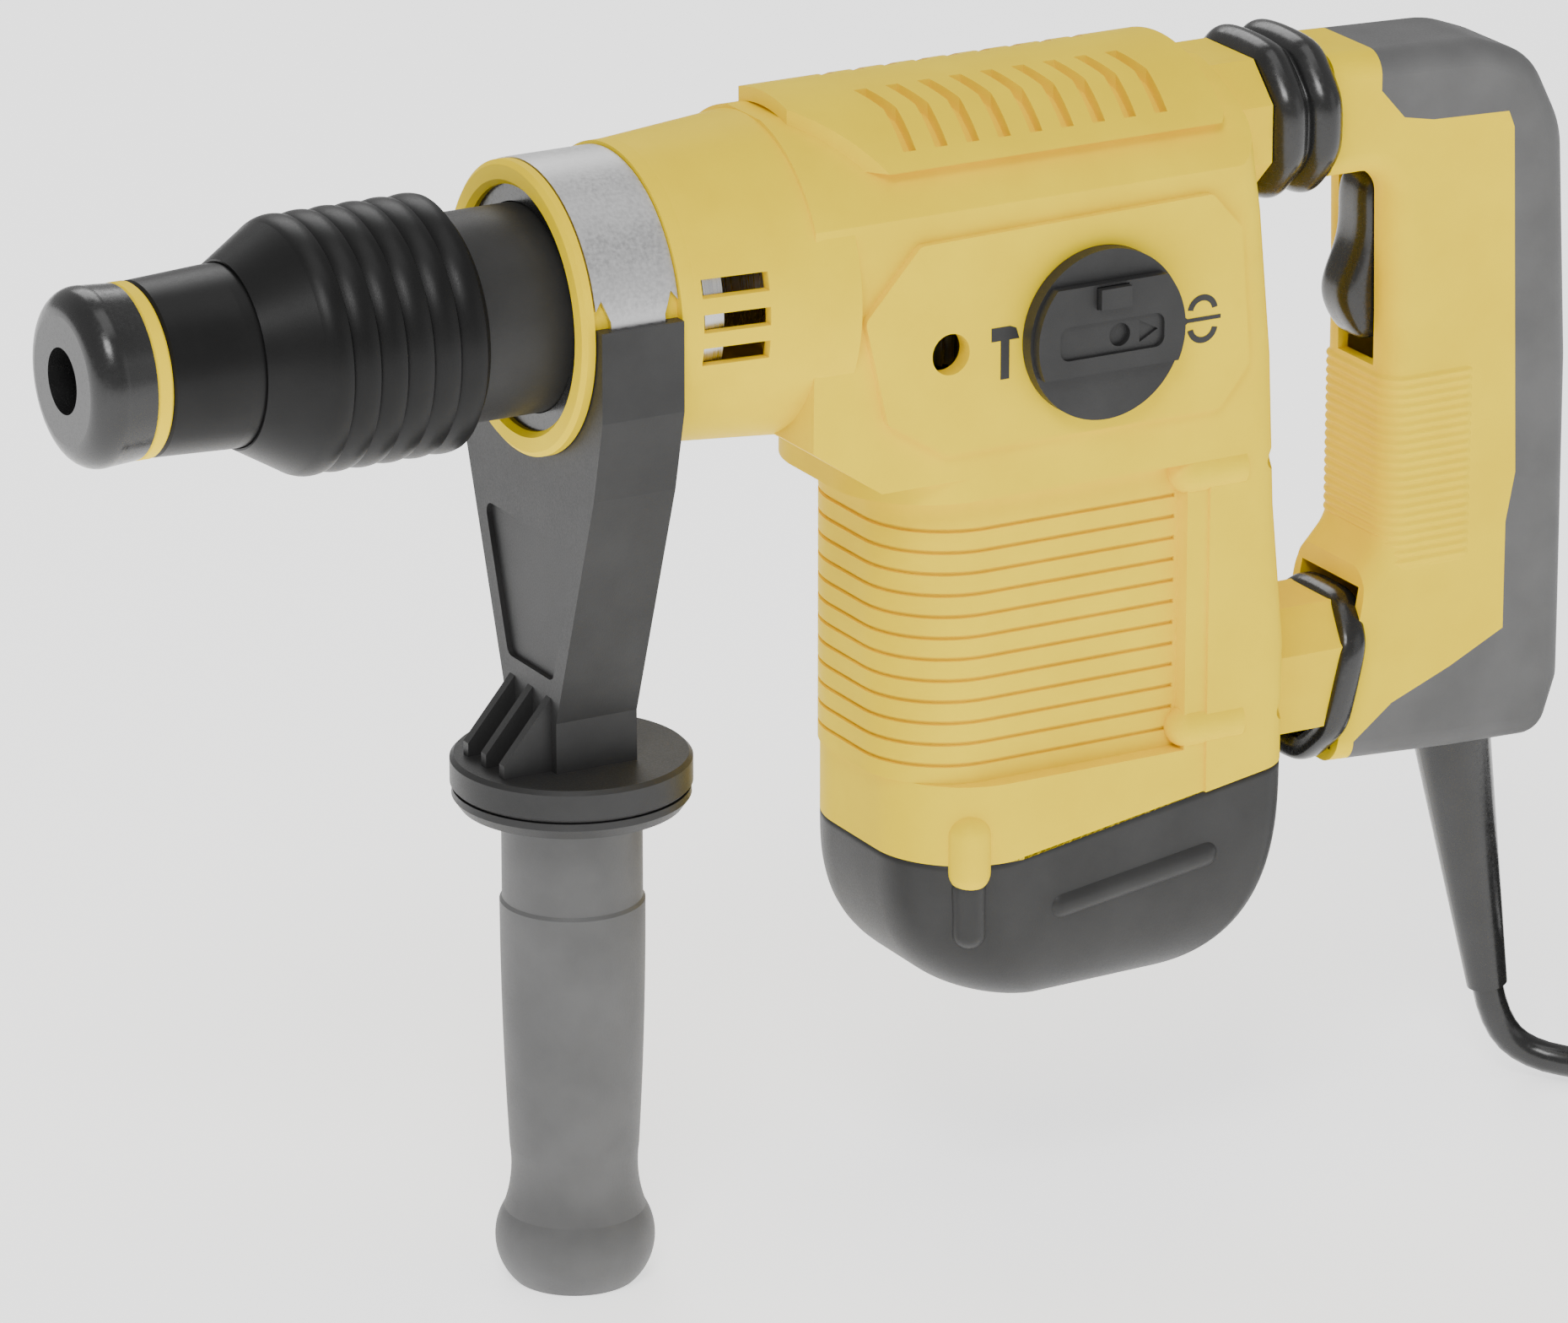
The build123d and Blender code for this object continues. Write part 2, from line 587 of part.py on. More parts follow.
def motor_housing():
    """Yellow motor column with groove ribs and raised frames."""
    body = motor_shape(0) - motor_shape(WALL)
    body -= column(MOTOR_FRONT_X + 8, MOTOR_SEAM_X + 1, 32, 24, -66, BODY_BOTTOM + 1)
    body -= column(MOTOR_FRONT_X + 10, MOTOR_SEAM_X + 1, 34, 24, CAP_LINE_Z - 1, MOTOR_BAND_Z + 1)
    groove_ring = column(MOTOR_FRONT_X - 1, 331, MOTOR_HALF + 1, 27, 0, 1.3)
    groove_ring -= column(MOTOR_FRONT_X + 1.2, 333, MOTOR_HALF - 1.2, 25, -1, 2)
    for i in range(12):
        body -= Pos(0, 0, -146 + 6.4 * i) * groove_ring
    body -= cap_line_cut()
    for y, z in BOSSES:
        body += Pos(BOSS_START_X, y, z) * boss_nose(MOTOR_SEAM_X - BOSS_START_X)
        body -= tube_x(BOSS_END_X - BODY_SCREW_LENGTH - 1, MOTOR_SEAM_X, BODY_SCREW_R + RUN, 0, y, z)
    return body


def rear_shape(shrink):
    """Solid shape of the rear body between the seam and the rear handle."""
    s = shrink
    profile = [(MOTOR_SEAM_X, BODY_BOTTOM), (BODY_END_X, BODY_BOTTOM), (BODY_END_X, BODY_TOP - s),
               (352 - s, BODY_TOP - 1 - s), (358 - s, 7), (362 - s, -36), (364 - s, -82), (368 - s, -124),
               (368 - s, -178), (MOTOR_SEAM_X, -178)]
    body = slab_y(profile, s - BODY_HALF, BODY_HALF - s)
    arch = tube_x(MOTOR_SEAM_X, 370, BODY_TOP - s, 0) + block(MOTOR_SEAM_X, 370, -60, 60, -190, 0)
    body = body & arch
    rear = body.edges().filter_by(lambda e: abs(abs(e.center().Y) - (BODY_HALF - s)) < 0.01
                                  and e.center().X > 352 and abs((e % 0.5).Z) > 0.5)
    return fillet(rear, 9 - s)


def upper_stub(shrink):
    """Octagonal stub that the bellows slips on."""
    return slab_x(octagon(ARM_HALF_WIDTH - shrink, ARM_HALF_HEIGHT - shrink, ARM_CUT, ARM_Z), 348, 369)


def lower_stub(shrink):
    """Octagonal stub of the lower arm with a tilted rear end."""
    s = shrink
    arm = slab_x(octagon(ARM_HALF_WIDTH - 2 - s, LOWER_ARM_HALF - s, ARM_CUT, LOWER_ARM_Z), 360, 410)
    return arm & slab_y([(355, -110), (403.5, -110), (403.5, -124), (391, -176), (355, -176)], -30, 30)


def rear_housing():
    """Yellow rear body with the two stubs towards the rear handle."""
    body = rear_shape(0) + upper_stub(0) + lower_stub(0)
    body -= rear_shape(WALL)
    body -= upper_stub(WALL)
    body -= lower_stub(WALL)
    for y, z in BOSSES:
        body += tube_x(MOTOR_SEAM_X, BOSS_END_X, BOSS_R, 0, y, z)
        body -= tube_x(MOTOR_SEAM_X, BOSS_END_X, BODY_SCREW_R + GAP, 0, y, z)
        body -= tube_x(BOSS_END_X, PIVOT_X, BODY_SCREW_HEAD_R + GAP, 0, y, z)
    return body - cap_line_cut()


def body_screws():
    """Pan-head screws that go forwards through the bosses and join the housings."""
    made = []
    for y, z in BOSSES:
        shank = tube_x(BOSS_END_X - BODY_SCREW_LENGTH, BOSS_END_X, BODY_SCREW_R, 0, y, z)
        head = tube_x(BOSS_END_X, BOSS_END_X + 2.4, BODY_SCREW_HEAD_R, 0, y, z)
        head -= block(BOSS_END_X + 1.2, BOSS_END_X + 3, y - 4, y + 4, z - 0.5, z + 0.5)
        made.append(shank + head)
    return Compound(children=made)


def pivot_arm():
    """Tongue from the rear body that the rear handle's hinge pin passes through."""
    y = 9.0
    arm = slab_y([(366, -160), (PIVOT_X, -158), (PIVOT_X + 9, -152), (PIVOT_X + 9, -144), (PIVOT_X, -138),
                  (366, -136)], -y, y)
    return arm - tube_y(-y - 1, y + 1, PIVOT_R + RUN, 0, PIVOT_X, PIVOT_Z)


def bottom_cap():
    """Black tapered cap under the motor."""
    outer = slab_y([(246, CAP_LINE_Z + 2), (253, -204), (262, -218), (272, CAP_BOTTOM_Z),
                    (350, CAP_BOTTOM_Z), (364, -216), (368, -200), (368, -158), (330, -160)],
                   1 - BODY_HALF, BODY_HALF - 1)
    half = BODY_HALF - 1
    outer = outer & slab_x([(-half, -150), (half, -150), (half, -206), (30, CAP_BOTTOM_Z),
                            (-30, CAP_BOTTOM_Z), (-half, -206)], 240, 370)
    outer = outer & column(246, 400, BODY_HALF - 1, 28, -240, -150)
    inner = block(258, 364 - WALL, -35, 35, -200, -150) + block(268, 352, -28, 28, CAP_BOTTOM_Z + 4, -150)
    cap = (outer & cap_line_cut()) - inner
    for i in range(3):
        cap -= block(266 + 9 * i, 271 + 9 * i, -50, -26, -222 + 2 * i, -214 + 2 * i)
    return cap


def handle_screws():
    """Pan-head screws of the rear handle, all from the far side."""
    made = []
    for x, z in HANDLE_SCREWS:
        shank = tube_y(HANDLE_HALF - HANDLE_SCREW_LENGTH, HANDLE_HALF, HANDLE_SCREW_R, 0, x, z)
        head = tube_y(HANDLE_HALF, HANDLE_HALF + 2.4, 1.8 * HANDLE_SCREW_R, 0, x, z)
        head -= block(x - 4, x + 4, HANDLE_HALF + 1.2, HANDLE_HALF + 3, z - 0.5, z + 0.5)
        made.append(shank + head)
    return Compound(children=made)


# ---- side handle ---------------------------------------------------------------------------------
def handle_bracket():
    """Tapered bracket with a saddle for the collar and a disc flange at its foot."""
    x0 = COLLAR_X + COLLAR_LIP + 0.4
    x1 = x0 + CLAMP_WIDTH - 0.8
    foot = DISC_TOP
    points = [(44.5, BRACKET_TOP), (44.5, -22), (39, -46), (15.5, -118), (15.5, foot), (-15.5, foot),
              (-15.5, -118), (-39, -46), (-44.5, -22), (-44.5, BRACKET_TOP)]
    body = slab_x(points, x0, x1)
    body -= tube_x(x0 - 1, x1 + 1, COLLAR_R + GAP, 0)
    body -= block(x0 - 1, x1 + 1, -COLLAR_R - GAP, COLLAR_R + GAP, 0, 10)
    cavity = slab_x([(42.6, 5), (42.6, -24), (30.5, -61), (-30.5, -61), (-42.6, -24), (-42.6, 5)],
                    SIDE_X - 8.7, SIDE_X + 8.7)
    body -= cavity - tube_x(x0, x1, COLLAR_R + GAP + 2.6, 0)
    for side in (-1, 1):
        lo, hi = sorted((side * (COLLAR_R - 1), side * 42.6))
        body -= block(SIDE_X - 8.7, SIDE_X + 8.7, lo, hi, -24, BRACKET_TOP + 1)
    recess = slab_x([(27, -64), (13.5, -106), (-13.5, -106), (-27, -64)], x0 - 1, x0 + 1.6, 3)
    body -= recess
    for side in (-1, 1):
        cut = Pos(0, side * 2.0, 0) * slab_x([(side * 41, -52), (side * 19, -114), (side * 30, -114),
                                              (side * 52, -52)], SIDE_X - 7, SIDE_X + 7)
        body -= cut
    for y in (-11, 0, 11):
        gusset = [(x0 + 1, -110), (x0 + 1, foot), (x0 - 15, foot), (x0 - 15, foot + 4)]
        body += slab_y(gusset, y - 1.5, y + 1.5)
    disc = tube_z(foot - DISC_THICK, foot, DISC_R, 0, SIDE_X)
    body += chamfer(disc.edges().filter_by(GeomType.CIRCLE), 1.2)
    return body - tube_z(foot - DISC_THICK - 1, -55, BOLT_R + GAP, 0, SIDE_X)


def clamp_band():
    """Steel band over the collar with two legs joined by a yoke under the saddle."""
    inner = COLLAR_R + GAP
    outer = inner + 1.7
    x0 = SIDE_X - CLAMP_WIDTH / 2 + 0.4
    x1 = SIDE_X + CLAMP_WIDTH / 2 - 0.4
    arch = (Circle(outer) - Circle(inner)) & Pos(0, 30) * Rectangle(100, 60)
    band = Pos(x0, 0, 0) * extrude(Plane.YZ * arch, amount=x1 - x0)
    notch = [(x0 - 1, 8), (x0 + 2, 12), (SIDE_X - 8.4, 6), (SIDE_X - 8.4, -1), (x0 - 1, -1)]
    band -= slab_y(notch, -60, 60)
    band -= slab_y([(2 * SIDE_X - x, z) for x, z in notch], -60, 60)
    legs = [(outer, 0), (outer, -24), (29, -57.6), (-29, -57.6), (-outer, -24), (-outer, 0), (-inner, 0),
            (-inner, -23), (-27, -54.6), (27, -54.6), (inner, -23), (inner, 0)]
    return band + slab_x(legs, SIDE_X - 8.4, SIDE_X + 8.4)


def clamp_bolt():
    """Bolt from the yoke down into the side grip."""
    return tube_z(-166, -57.6, BOLT_R, 0, SIDE_X)


def clamp_nut():
    """Hexagonal nut held in the side grip."""
    nut = Pos(SIDE_X, 0, -164) * extrude(RegularPolygon(8, 6), amount=10)
    return nut - tube_z(-165, -153, BOLT_R + RUN, 0, SIDE_X)


def grip_core():
    """Hard core of the side grip with its flange and nut pocket."""
    top = DISC_TOP - DISC_THICK - GAP
    core = turned_z([(0, top), (DISC_R - 0.6, top), (DISC_R - 0.4, top - 2), (DISC_R - 2.5, top - 5),
                     (22, top - 8.5), (GRIP_CORE_R, top - 9), (GRIP_CORE_R, GRIP_BOTTOM + 4),
                     (0, GRIP_BOTTOM + 4)], SIDE_X)
    core -= Pos(SIDE_X, 0, -164) * extrude(RegularPolygon(8, 6), amount=10)
    return core - tube_z(-172, top + 1, BOLT_R + GAP, 0, SIDE_X)


def grip_sleeve():
    """Soft sleeve of the side grip: neck, waist and rounded knob."""
    top = DISC_TOP - DISC_THICK - GAP - 9
    c = GRIP_CORE_R
    profile = Polyline((c, GRIP_BOTTOM + 4), (c, top), (20.1, top), (20.1, -176), (20.8, -177))
    profile += ThreePointArc((20.8, -177), (20.2, -215), (18.6, -252))
    profile += ThreePointArc((18.6, -252), (18.4, -262), (20.4, -271))
    profile += ThreePointArc((20.4, -271), (22.6, -284), (18.0, GRIP_BOTTOM))
    profile += Polyline((18.0, GRIP_BOTTOM), (0, GRIP_BOTTOM), (0, GRIP_BOTTOM + 4), (c, GRIP_BOTTOM + 4))
    return Pos(SIDE_X, 0, 0) * revolve(Plane.XZ * make_face(profile), axis=Axis.Z)


# ---- rear handle ---------------------------------------------------------------------------------
ARM_START_X = 370.0         # both arms are drawn long and trimmed at their joints
OUTER = [(ARM_START_X, 42.6), (444, 40), (463, 33), (474, 10.7), (477.6, -60), (OVERALL_LENGTH, -139),
         (OVERALL_LENGTH, -160), (472, -178), (440, -177), (ARM_START_X, -173)]
OUTER_R = [30, 20, 30, 60, 15, 12, 9, 30]
WINDOW = [(ARM_START_X, -121), (402, -121), (414, -108), (414, -40), (413, 5), (ARM_START_X, 5)]
WINDOW_R = [10, 12, 60, 8]


def handle_solid():
    """Whole rear handle as one solid, with rounded edges and trimmed arms."""
    loop = FilletPolyline(*OUTER, radius=OUTER_R) + Line(OUTER[-1], WINDOW[0])
    loop += FilletPolyline(*WINDOW, radius=WINDOW_R) + Line(WINDOW[-1], OUTER[0])
    body = Pos(0, HANDLE_HALF, 0) * extrude(Plane.XZ * make_face(loop), amount=2 * HANDLE_HALF)
    rim = body.edges().filter_by(lambda e: abs(abs(e.center().Y) - HANDLE_HALF) < 0.01
                                 and e.center().X > ARM_START_X + 0.01)
    body = fillet(rim, 7)
    upper = block(393, 500, -40, 40, -60, 60)
    lower = slab_y([(394.5, -190), (407, -121), (407, -60), (500, -60), (500, -190)], -40, 40)
    return body & (upper + lower)


def handle_inside():
    """Hollow of the rear handle."""
    w = HANDLE_WALL
    points = [(390, 42.6 - w), (444, 40 - w), (461, 31), (470, 10), (474 - w, -60), (474.5 - w, -139),
              (474.5 - w, -160), (468, -178 + w), (440, -177 + w), (404, -174 + w), (389, -174 + w),
              (399, -122 - w), (414 + w, -116), (414 + w, 5 + w), (390, 5 + w)]
    return slab_y(points, HANDLE_WALL - HANDLE_HALF, HANDLE_HALF - HANDLE_WALL, 1)


def back_region():
    """Region of the soft back: top, back and bottom of the handle."""
    inner = [(409, 60), (409, 30), (417, 21), (427, 19), (453, 18), (455, 13), (458.5, -93), (455.5, -108),
             (455.5, -141), (437, -150), (417, -158), (404, -168), (404, -200)]
    return slab_y(inner + [(500, -200), (500, 60)], -40, 40)


def trigger_slot():
    """Opening in the front of the grip for the trigger."""
    return block(400, 428, -TRIGGER_HALF - 0.6, TRIGGER_HALF + 0.6, -56, 3.5)


def relief_axis():
    """Plane across the strain relief at its mouth, looking out along the cord."""
    return Plane(origin=CORD_MOUTH, z_dir=(0.18, 0, -0.9837))


RELIEF_LENGTH = 88.0


def relief_hole(radius):
    """Opening in the handle's foot for the strain relief."""
    return extrude(relief_axis() * Circle(radius), amount=-(RELIEF_LENGTH + 12))


def handle_shell(side):
    """One half of the rear handle's hard shell."""
    half = block(380, 500, *sorted((0, side * 40)), -200, 60)
    shell = (handle_solid() - handle_inside() - back_region()) & half
    shell -= trigger_slot()
    shell -= relief_hole(14.5)
    boss = tube_y(*sorted((side * 10, side * (HANDLE_HALF - HANDLE_WALL))), PIVOT_R + 4, 0, PIVOT_X, PIVOT_Z)
    reach = sorted((side * 8, side * (HANDLE_HALF - 1.5)))
    pin_hole = tube_y(*reach, PIVOT_R, 0, PIVOT_X, PIVOT_Z)
    trigger_hole = tube_y(*reach, TRIGGER_PIN_R, 0, TRIGGER_X, TRIGGER_Z)
    shell = shell + boss - pin_hole - trigger_hole
    if side > 0:
        for x, z in HANDLE_SCREWS:
            boss_y = HANDLE_HALF - HANDLE_SCREW_LENGTH
            shell += tube_y(boss_y, HANDLE_HALF - 1, 2.2 * HANDLE_SCREW_R, 0, x, z)
            shell -= tube_y(boss_y - 1, HANDLE_HALF + 1, HANDLE_SCREW_R + RUN, 0, x, z)
    return shell


def handle_back():
    """Soft covered back of the rear handle."""
    return (handle_solid() - handle_inside()) & back_region() - relief_hole(14.5)


def handle_pins():
    """Hinge pin of the power unit and the trigger's pin."""
    reach = HANDLE_HALF - 1.5
    return Compound(children=[tube_y(-reach, reach, PIVOT_R, 0, PIVOT_X, PIVOT_Z),
                              tube_y(-reach, reach, TRIGGER_PIN_R, 0, TRIGGER_X, TRIGGER_Z)])


def trigger():
    """Long paddle trigger."""
    points = [(412, 1.5), (407, -8), (405, -24), (406.5, -36), (412, -46), (420, -49.5), (424.5, -44),
              (425.5, -10), (424.5, 1.5)]
    body = slab_y(points, -TRIGGER_HALF, TRIGGER_HALF, 3)
    return body - tube_y(-TRIGGER_HALF - 1, TRIGGER_HALF + 1, TRIGGER_PIN_R + RUN, 0, TRIGGER_X, TRIGGER_Z)


def switch_module():
    """Trigger switch inside the grip."""
    return block(432, 453, -11, 11, -48, -6) + block(446, 452, -8, 8, -56, -48)


def strain_relief():
    """Tapered rubber sleeve moulded on the cord, with its collar inside the handle."""
    plane = relief_axis()
    foot = plane.offset(-RELIEF_LENGTH)
    collar = extrude(plane.offset(-RELIEF_LENGTH - 3) * Circle(13.8), amount=5)
    cone = loft([foot * Circle(12.0), plane * Circle(6.2)])
    return collar + cone


def arm_ring(x, shrink):
    """Octagonal face of the upper arm's section, drawn in."""
    ring = octagon(ARM_HALF_WIDTH - shrink, ARM_HALF_HEIGHT - shrink, ARM_CUT, ARM_Z)
    return Plane.YZ.offset(x) * make_face(Polyline(*ring, close=True))


def bellows():
    """Two-fold octagonal bellows between the upper arm's halves."""
    rings = [(370.5, 2.5), (374, -0.2), (377, 2.2), (380.5, 2.8), (384, -0.2), (387, -0.2), (391.5, 2.5)]
    folds = None
    for first, second in zip(rings, rings[1:]):
        part = loft([arm_ring(*first), arm_ring(*second)])
        folds = part if folds is None else folds + part
    bore = slab_x(octagon(ARM_HALF_WIDTH - 6, ARM_HALF_HEIGHT - 6, ARM_CUT - 2, ARM_Z), 369, 393)
    return folds - bore


def arm_gasket():
    """Soft gasket in the tilted gap of the lower arm."""
    arm = slab_x(octagon(ARM_HALF_WIDTH - 5, LOWER_ARM_HALF - 2, ARM_CUT, LOWER_ARM_Z), 385, 412)
    arm -= slab_x(octagon(13, 14, 4, LOWER_ARM_Z), 380, 415)
    gap = [(404, -110), (406.5, -110), (406.5, -124), (394, -176), (391.6, -176), (404, -124)]
    return arm & slab_y(gap, -30, 30)


# ---- mains cord ----------------------------------------------------------------------------------
CORD_Z = FLOOR_Z + TIE + CORD_D / 2
COIL_OUT_R = COIL_MID_R + (COIL_TURNS_ACROSS - 1) / 2 * COIL_PITCH
COIL_TOP = FLOOR_Z + TIE + COIL_LAYERS * COIL_PITCH
PLUG_Z = COIL_TOP + PLUG_R


def on_coil(angle, radius, z):
    """Point over the coil at an angle in degrees."""
    turn = math.radians(angle)
    return (COIL_X + radius * math.cos(turn), COIL_Y + radius * math.sin(turn), z)


ROUTE = [CORD_MOUTH, (468.5, -0.5, -275.0), (477.5, -6.0, -285.6), (492.0, -23.0, CORD_Z),
         (504.0, -39.0, CORD_Z), on_coil(COIL_START, COIL_OUT_R, CORD_Z)]
TAIL = [on_coil(-112, TAIL_R, COIL_TOP - 2.0), on_coil(-86, TAIL_R, COIL_TOP + 4.0),
        on_coil(-58, TAIL_R, COIL_TOP + 11.5), on_coil(-30, TAIL_R, PLUG_Z),
        on_coil(-6, TAIL_R, PLUG_Z)]


def corner_radii(route):
    """Largest tangent arc that each corner's two runs leave room for."""
    radii = []
    for a, b, c in zip(route, route[1:], route[2:]):
        first = Vector(*b) - Vector(*a)
        second = Vector(*c) - Vector(*b)
        half_turn = math.radians(first.get_angle(second)) / 2
        radii.append(0.45 * min(first.length, second.length) / math.tan(half_turn))
    return radii


def cord_along(route):
    """Round tube along straight runs joined by tangent arcs."""
    radii = corner_radii(route)
    print("cord radii", [round(r) for r in radii])
    path = FilletPolyline(*route, radius=radii)
    start = Plane(origin=route[0], z_dir=path % 0)
    tube = sweep(start * Circle(CORD_D / 2), path=path)
    print("volume ratio", round(tube.volume / (math.pi * CORD_D**2 / 4 * path.length), 4))
    return tube


def cord_coil():
    """Outer shape of the neat coil of spare cord."""
    spread = (COIL_TURNS_ACROSS * COIL_PITCH) / 2
    return tube_z(FLOOR_Z + TIE, COIL_TOP, COIL_MID_R + spread, COIL_MID_R - spread, COIL_X, COIL_Y)


def cord_tube():
    """The cord's two free stretches: strain relief to coil, and coil to plug."""
    return Compound(children=[cord_along(ROUTE), cord_along(TAIL)])


def cord_tie():
    """Strap round the coil's bundle."""
    spread = (COIL_TURNS_ACROSS * COIL_PITCH) / 2
    big, small = COIL_MID_R + spread, COIL_MID_R - spread
    outer = tube_z(FLOOR_Z, COIL_TOP + TIE, big + TIE, small - TIE, COIL_X, COIL_Y)
    middle = COIL_Y + COIL_MID_R
    strap = block(COIL_X - 8, COIL_X + 8, middle - 40, middle + 40, FLOOR_Z - 5, COIL_TOP + 5)
    return (outer - tube_z(FLOOR_Z + TIE, COIL_TOP, big, small, COIL_X, COIL_Y)) & strap


PLUG_START = Plane(origin=TAIL[-1], x_dir=(0, 0, 1), z_dir=Vector(*TAIL[-1]) - Vector(*TAIL[-2]))


def mains_plug():
    """Two-pin rubber plug with a tapered neck."""
    plane = PLUG_START
    neck = loft([plane * Circle(6.0), plane.offset(26) * Circle(9.5)])
    body = extrude(plane.offset(26) * Circle(PLUG_R), amount=26)
    body = chamfer(body.edges().filter_by(GeomType.CIRCLE), 3)
    return neck + body


def plug_pins():
    """Two round pins."""
    plane = PLUG_START.offset(52)
    return Compound(children=[extrude(plane * Pos(0, y) * Circle(2.4), amount=19) for y in (-9.5, 9.5)])


# ---- assembly ------------------------------------------------------------------------------------
def pieces():
    """Every node of the hammer, by name."""
    return {
        "dust_cap": dust_cap(), "cap_ring": cap_ring(), "front_sleeve": front_sleeve(),
        "spindle_tube": spindle_tube(), "neck_cover": neck_cover(), "locking_rollers": locking_rollers(),
        "sleeve_spring": sleeve_spring(), "locking_sleeve": locking_sleeve(), "collar_ring": collar_ring(),
        "front_seal": front_seal(), "front_bearing": front_bearing(), "hammer_tube": hammer_tube(),
        "beat_piece": beat_piece(), "striker": striker(), "piston": piston(), "rod_pins": rod_pins(),
        "connecting_rod": connecting_rod(), "crank_gear": crank_gear(),
        "gearcase": gearcase(), "shaft_bearings": shaft_bearings(), "armature_shaft": armature_shaft(),
        "armature_core": armature_core(), "commutator": commutator(), "cooling_fan": cooling_fan(),
        "stator_core": stator_core(), "stator_windings": stator_windings(), "brush_holders": brush_holders(),
        "carbon_brushes": carbon_brushes(), "barrel_housing": barrel_housing(), "vent_cover": vent_cover(),
        "left_side_cover": side_cover(-1), "right_side_cover": side_cover(1), "mode_dial": mode_dial(),
        "dial_lock_button": dial_lock_button(), "motor_housing": motor_housing(),
        "rear_housing": rear_housing(), "pivot_arm": pivot_arm(), "bottom_cap": bottom_cap(),
        "handle_bracket": handle_bracket(), "clamp_band": clamp_band(), "clamp_bolt": clamp_bolt(),
        "clamp_nut": clamp_nut(), "grip_core": grip_core(), "grip_sleeve": grip_sleeve(),
        "left_handle_shell": handle_shell(-1), "right_handle_shell": handle_shell(1),
        "handle_back": handle_back(), "handle_pins": handle_pins(), "trigger": trigger(),
        "handle_screws": handle_screws(), "body_screws": body_screws(),
        "switch_module": switch_module(), "strain_relief": strain_relief(),
        "bellows": bellows(), "arm_gasket": arm_gasket(), "cord_tube": cord_tube(), "cord_coil": cord_coil(),
        "cord_tie": cord_tie(), "mains_plug": mains_plug(), "plug_pins": plug_pins(),
    }


def main():
    """Shift every piece to the grip's origin and write it."""
    os.makedirs("parts", exist_ok=True)
    shift = Pos(-GRIP_X, 0, -GRIP_Z)
    for name, shape in pieces().items():
        export_step(shift * shape, f"parts/{name}.step")


main()
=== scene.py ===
import json
import math

import bmesh
import bpy
import numpy as np
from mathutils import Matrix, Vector


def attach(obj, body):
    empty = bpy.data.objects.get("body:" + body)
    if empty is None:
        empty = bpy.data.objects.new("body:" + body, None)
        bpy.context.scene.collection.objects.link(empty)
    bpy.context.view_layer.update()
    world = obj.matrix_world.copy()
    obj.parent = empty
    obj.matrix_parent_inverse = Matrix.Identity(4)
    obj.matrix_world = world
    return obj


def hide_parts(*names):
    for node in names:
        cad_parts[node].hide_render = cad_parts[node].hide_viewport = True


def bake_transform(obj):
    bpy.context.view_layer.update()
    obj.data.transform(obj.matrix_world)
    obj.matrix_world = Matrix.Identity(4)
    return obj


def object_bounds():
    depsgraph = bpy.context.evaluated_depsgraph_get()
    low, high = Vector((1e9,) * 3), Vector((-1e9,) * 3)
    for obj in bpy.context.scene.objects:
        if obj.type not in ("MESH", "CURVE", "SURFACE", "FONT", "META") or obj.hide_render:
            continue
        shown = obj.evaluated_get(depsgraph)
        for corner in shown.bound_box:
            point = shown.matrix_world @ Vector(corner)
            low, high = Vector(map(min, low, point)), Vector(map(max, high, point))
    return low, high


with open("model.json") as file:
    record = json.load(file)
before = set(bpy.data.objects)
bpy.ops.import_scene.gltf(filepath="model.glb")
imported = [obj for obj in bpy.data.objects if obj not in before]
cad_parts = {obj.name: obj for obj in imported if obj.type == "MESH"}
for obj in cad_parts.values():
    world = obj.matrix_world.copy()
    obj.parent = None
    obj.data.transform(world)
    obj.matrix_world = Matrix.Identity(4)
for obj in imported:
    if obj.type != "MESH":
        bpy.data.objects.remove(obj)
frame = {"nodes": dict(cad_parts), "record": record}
cad_low, cad_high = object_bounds()
nodes = frame["nodes"]
print("nodes", len(nodes), "CAD box", [round(v, 3) for v in cad_low], [round(v, 3) for v in cad_high])

# %% [markdown]
# ## Where things are
# The origin of this model is the middle of the rear grip, +X runs back along the impact axis and +Z is up.
# A maker would rather speak of places along the tool, counted in millimetres from the front of the dust
# cap and from the impact axis, so one small function turns such a place into metres of the frame.

# %% Places along the tool
NOSE_X = cad_low[0]
AXIS_Z = 0.080
FLOOR_Z = cad_low[2]


def place(x, y, z):
    """Frame position, in metres, of a point given in mm from the dust cap's front and the impact axis."""
    return (NOSE_X + x / 1000, y / 1000, AXIS_Z + z / 1000)


print("nose at x =", round(NOSE_X, 4), "floor at z =", round(FLOOR_Z, 4))

# %% [markdown]
# ## Camera
# The tool is seen from its nose end and a little from above, through a long lens that hardly widens
# anything near the lens.  The camera is set by the point it looks at, its distance, and two angles, because
# these are what one would move by hand.

# %% Camera
AIM = Vector(place(222.9, 0.0, -118.0))
DISTANCE = 2.641
TURN = math.radians(-29.0)
RAISE = math.radians(19.3)
away = Vector((math.sin(TURN) * math.cos(RAISE), -math.cos(TURN) * math.cos(RAISE), math.sin(RAISE)))
camera_data = bpy.data.cameras.new("camera")
camera_data.lens = 212.5
camera_data.sensor_width = 36.0
camera_data.clip_end = 50.0
camera = bpy.data.objects.new("camera", camera_data)
camera.location = AIM + away * DISTANCE
camera.rotation_euler = (-away).to_track_quat("-Z", "Y").to_euler()
bpy.context.scene.collection.objects.link(camera)
bpy.context.scene.camera = camera
print("camera at", [round(v, 3) for v in camera.location])
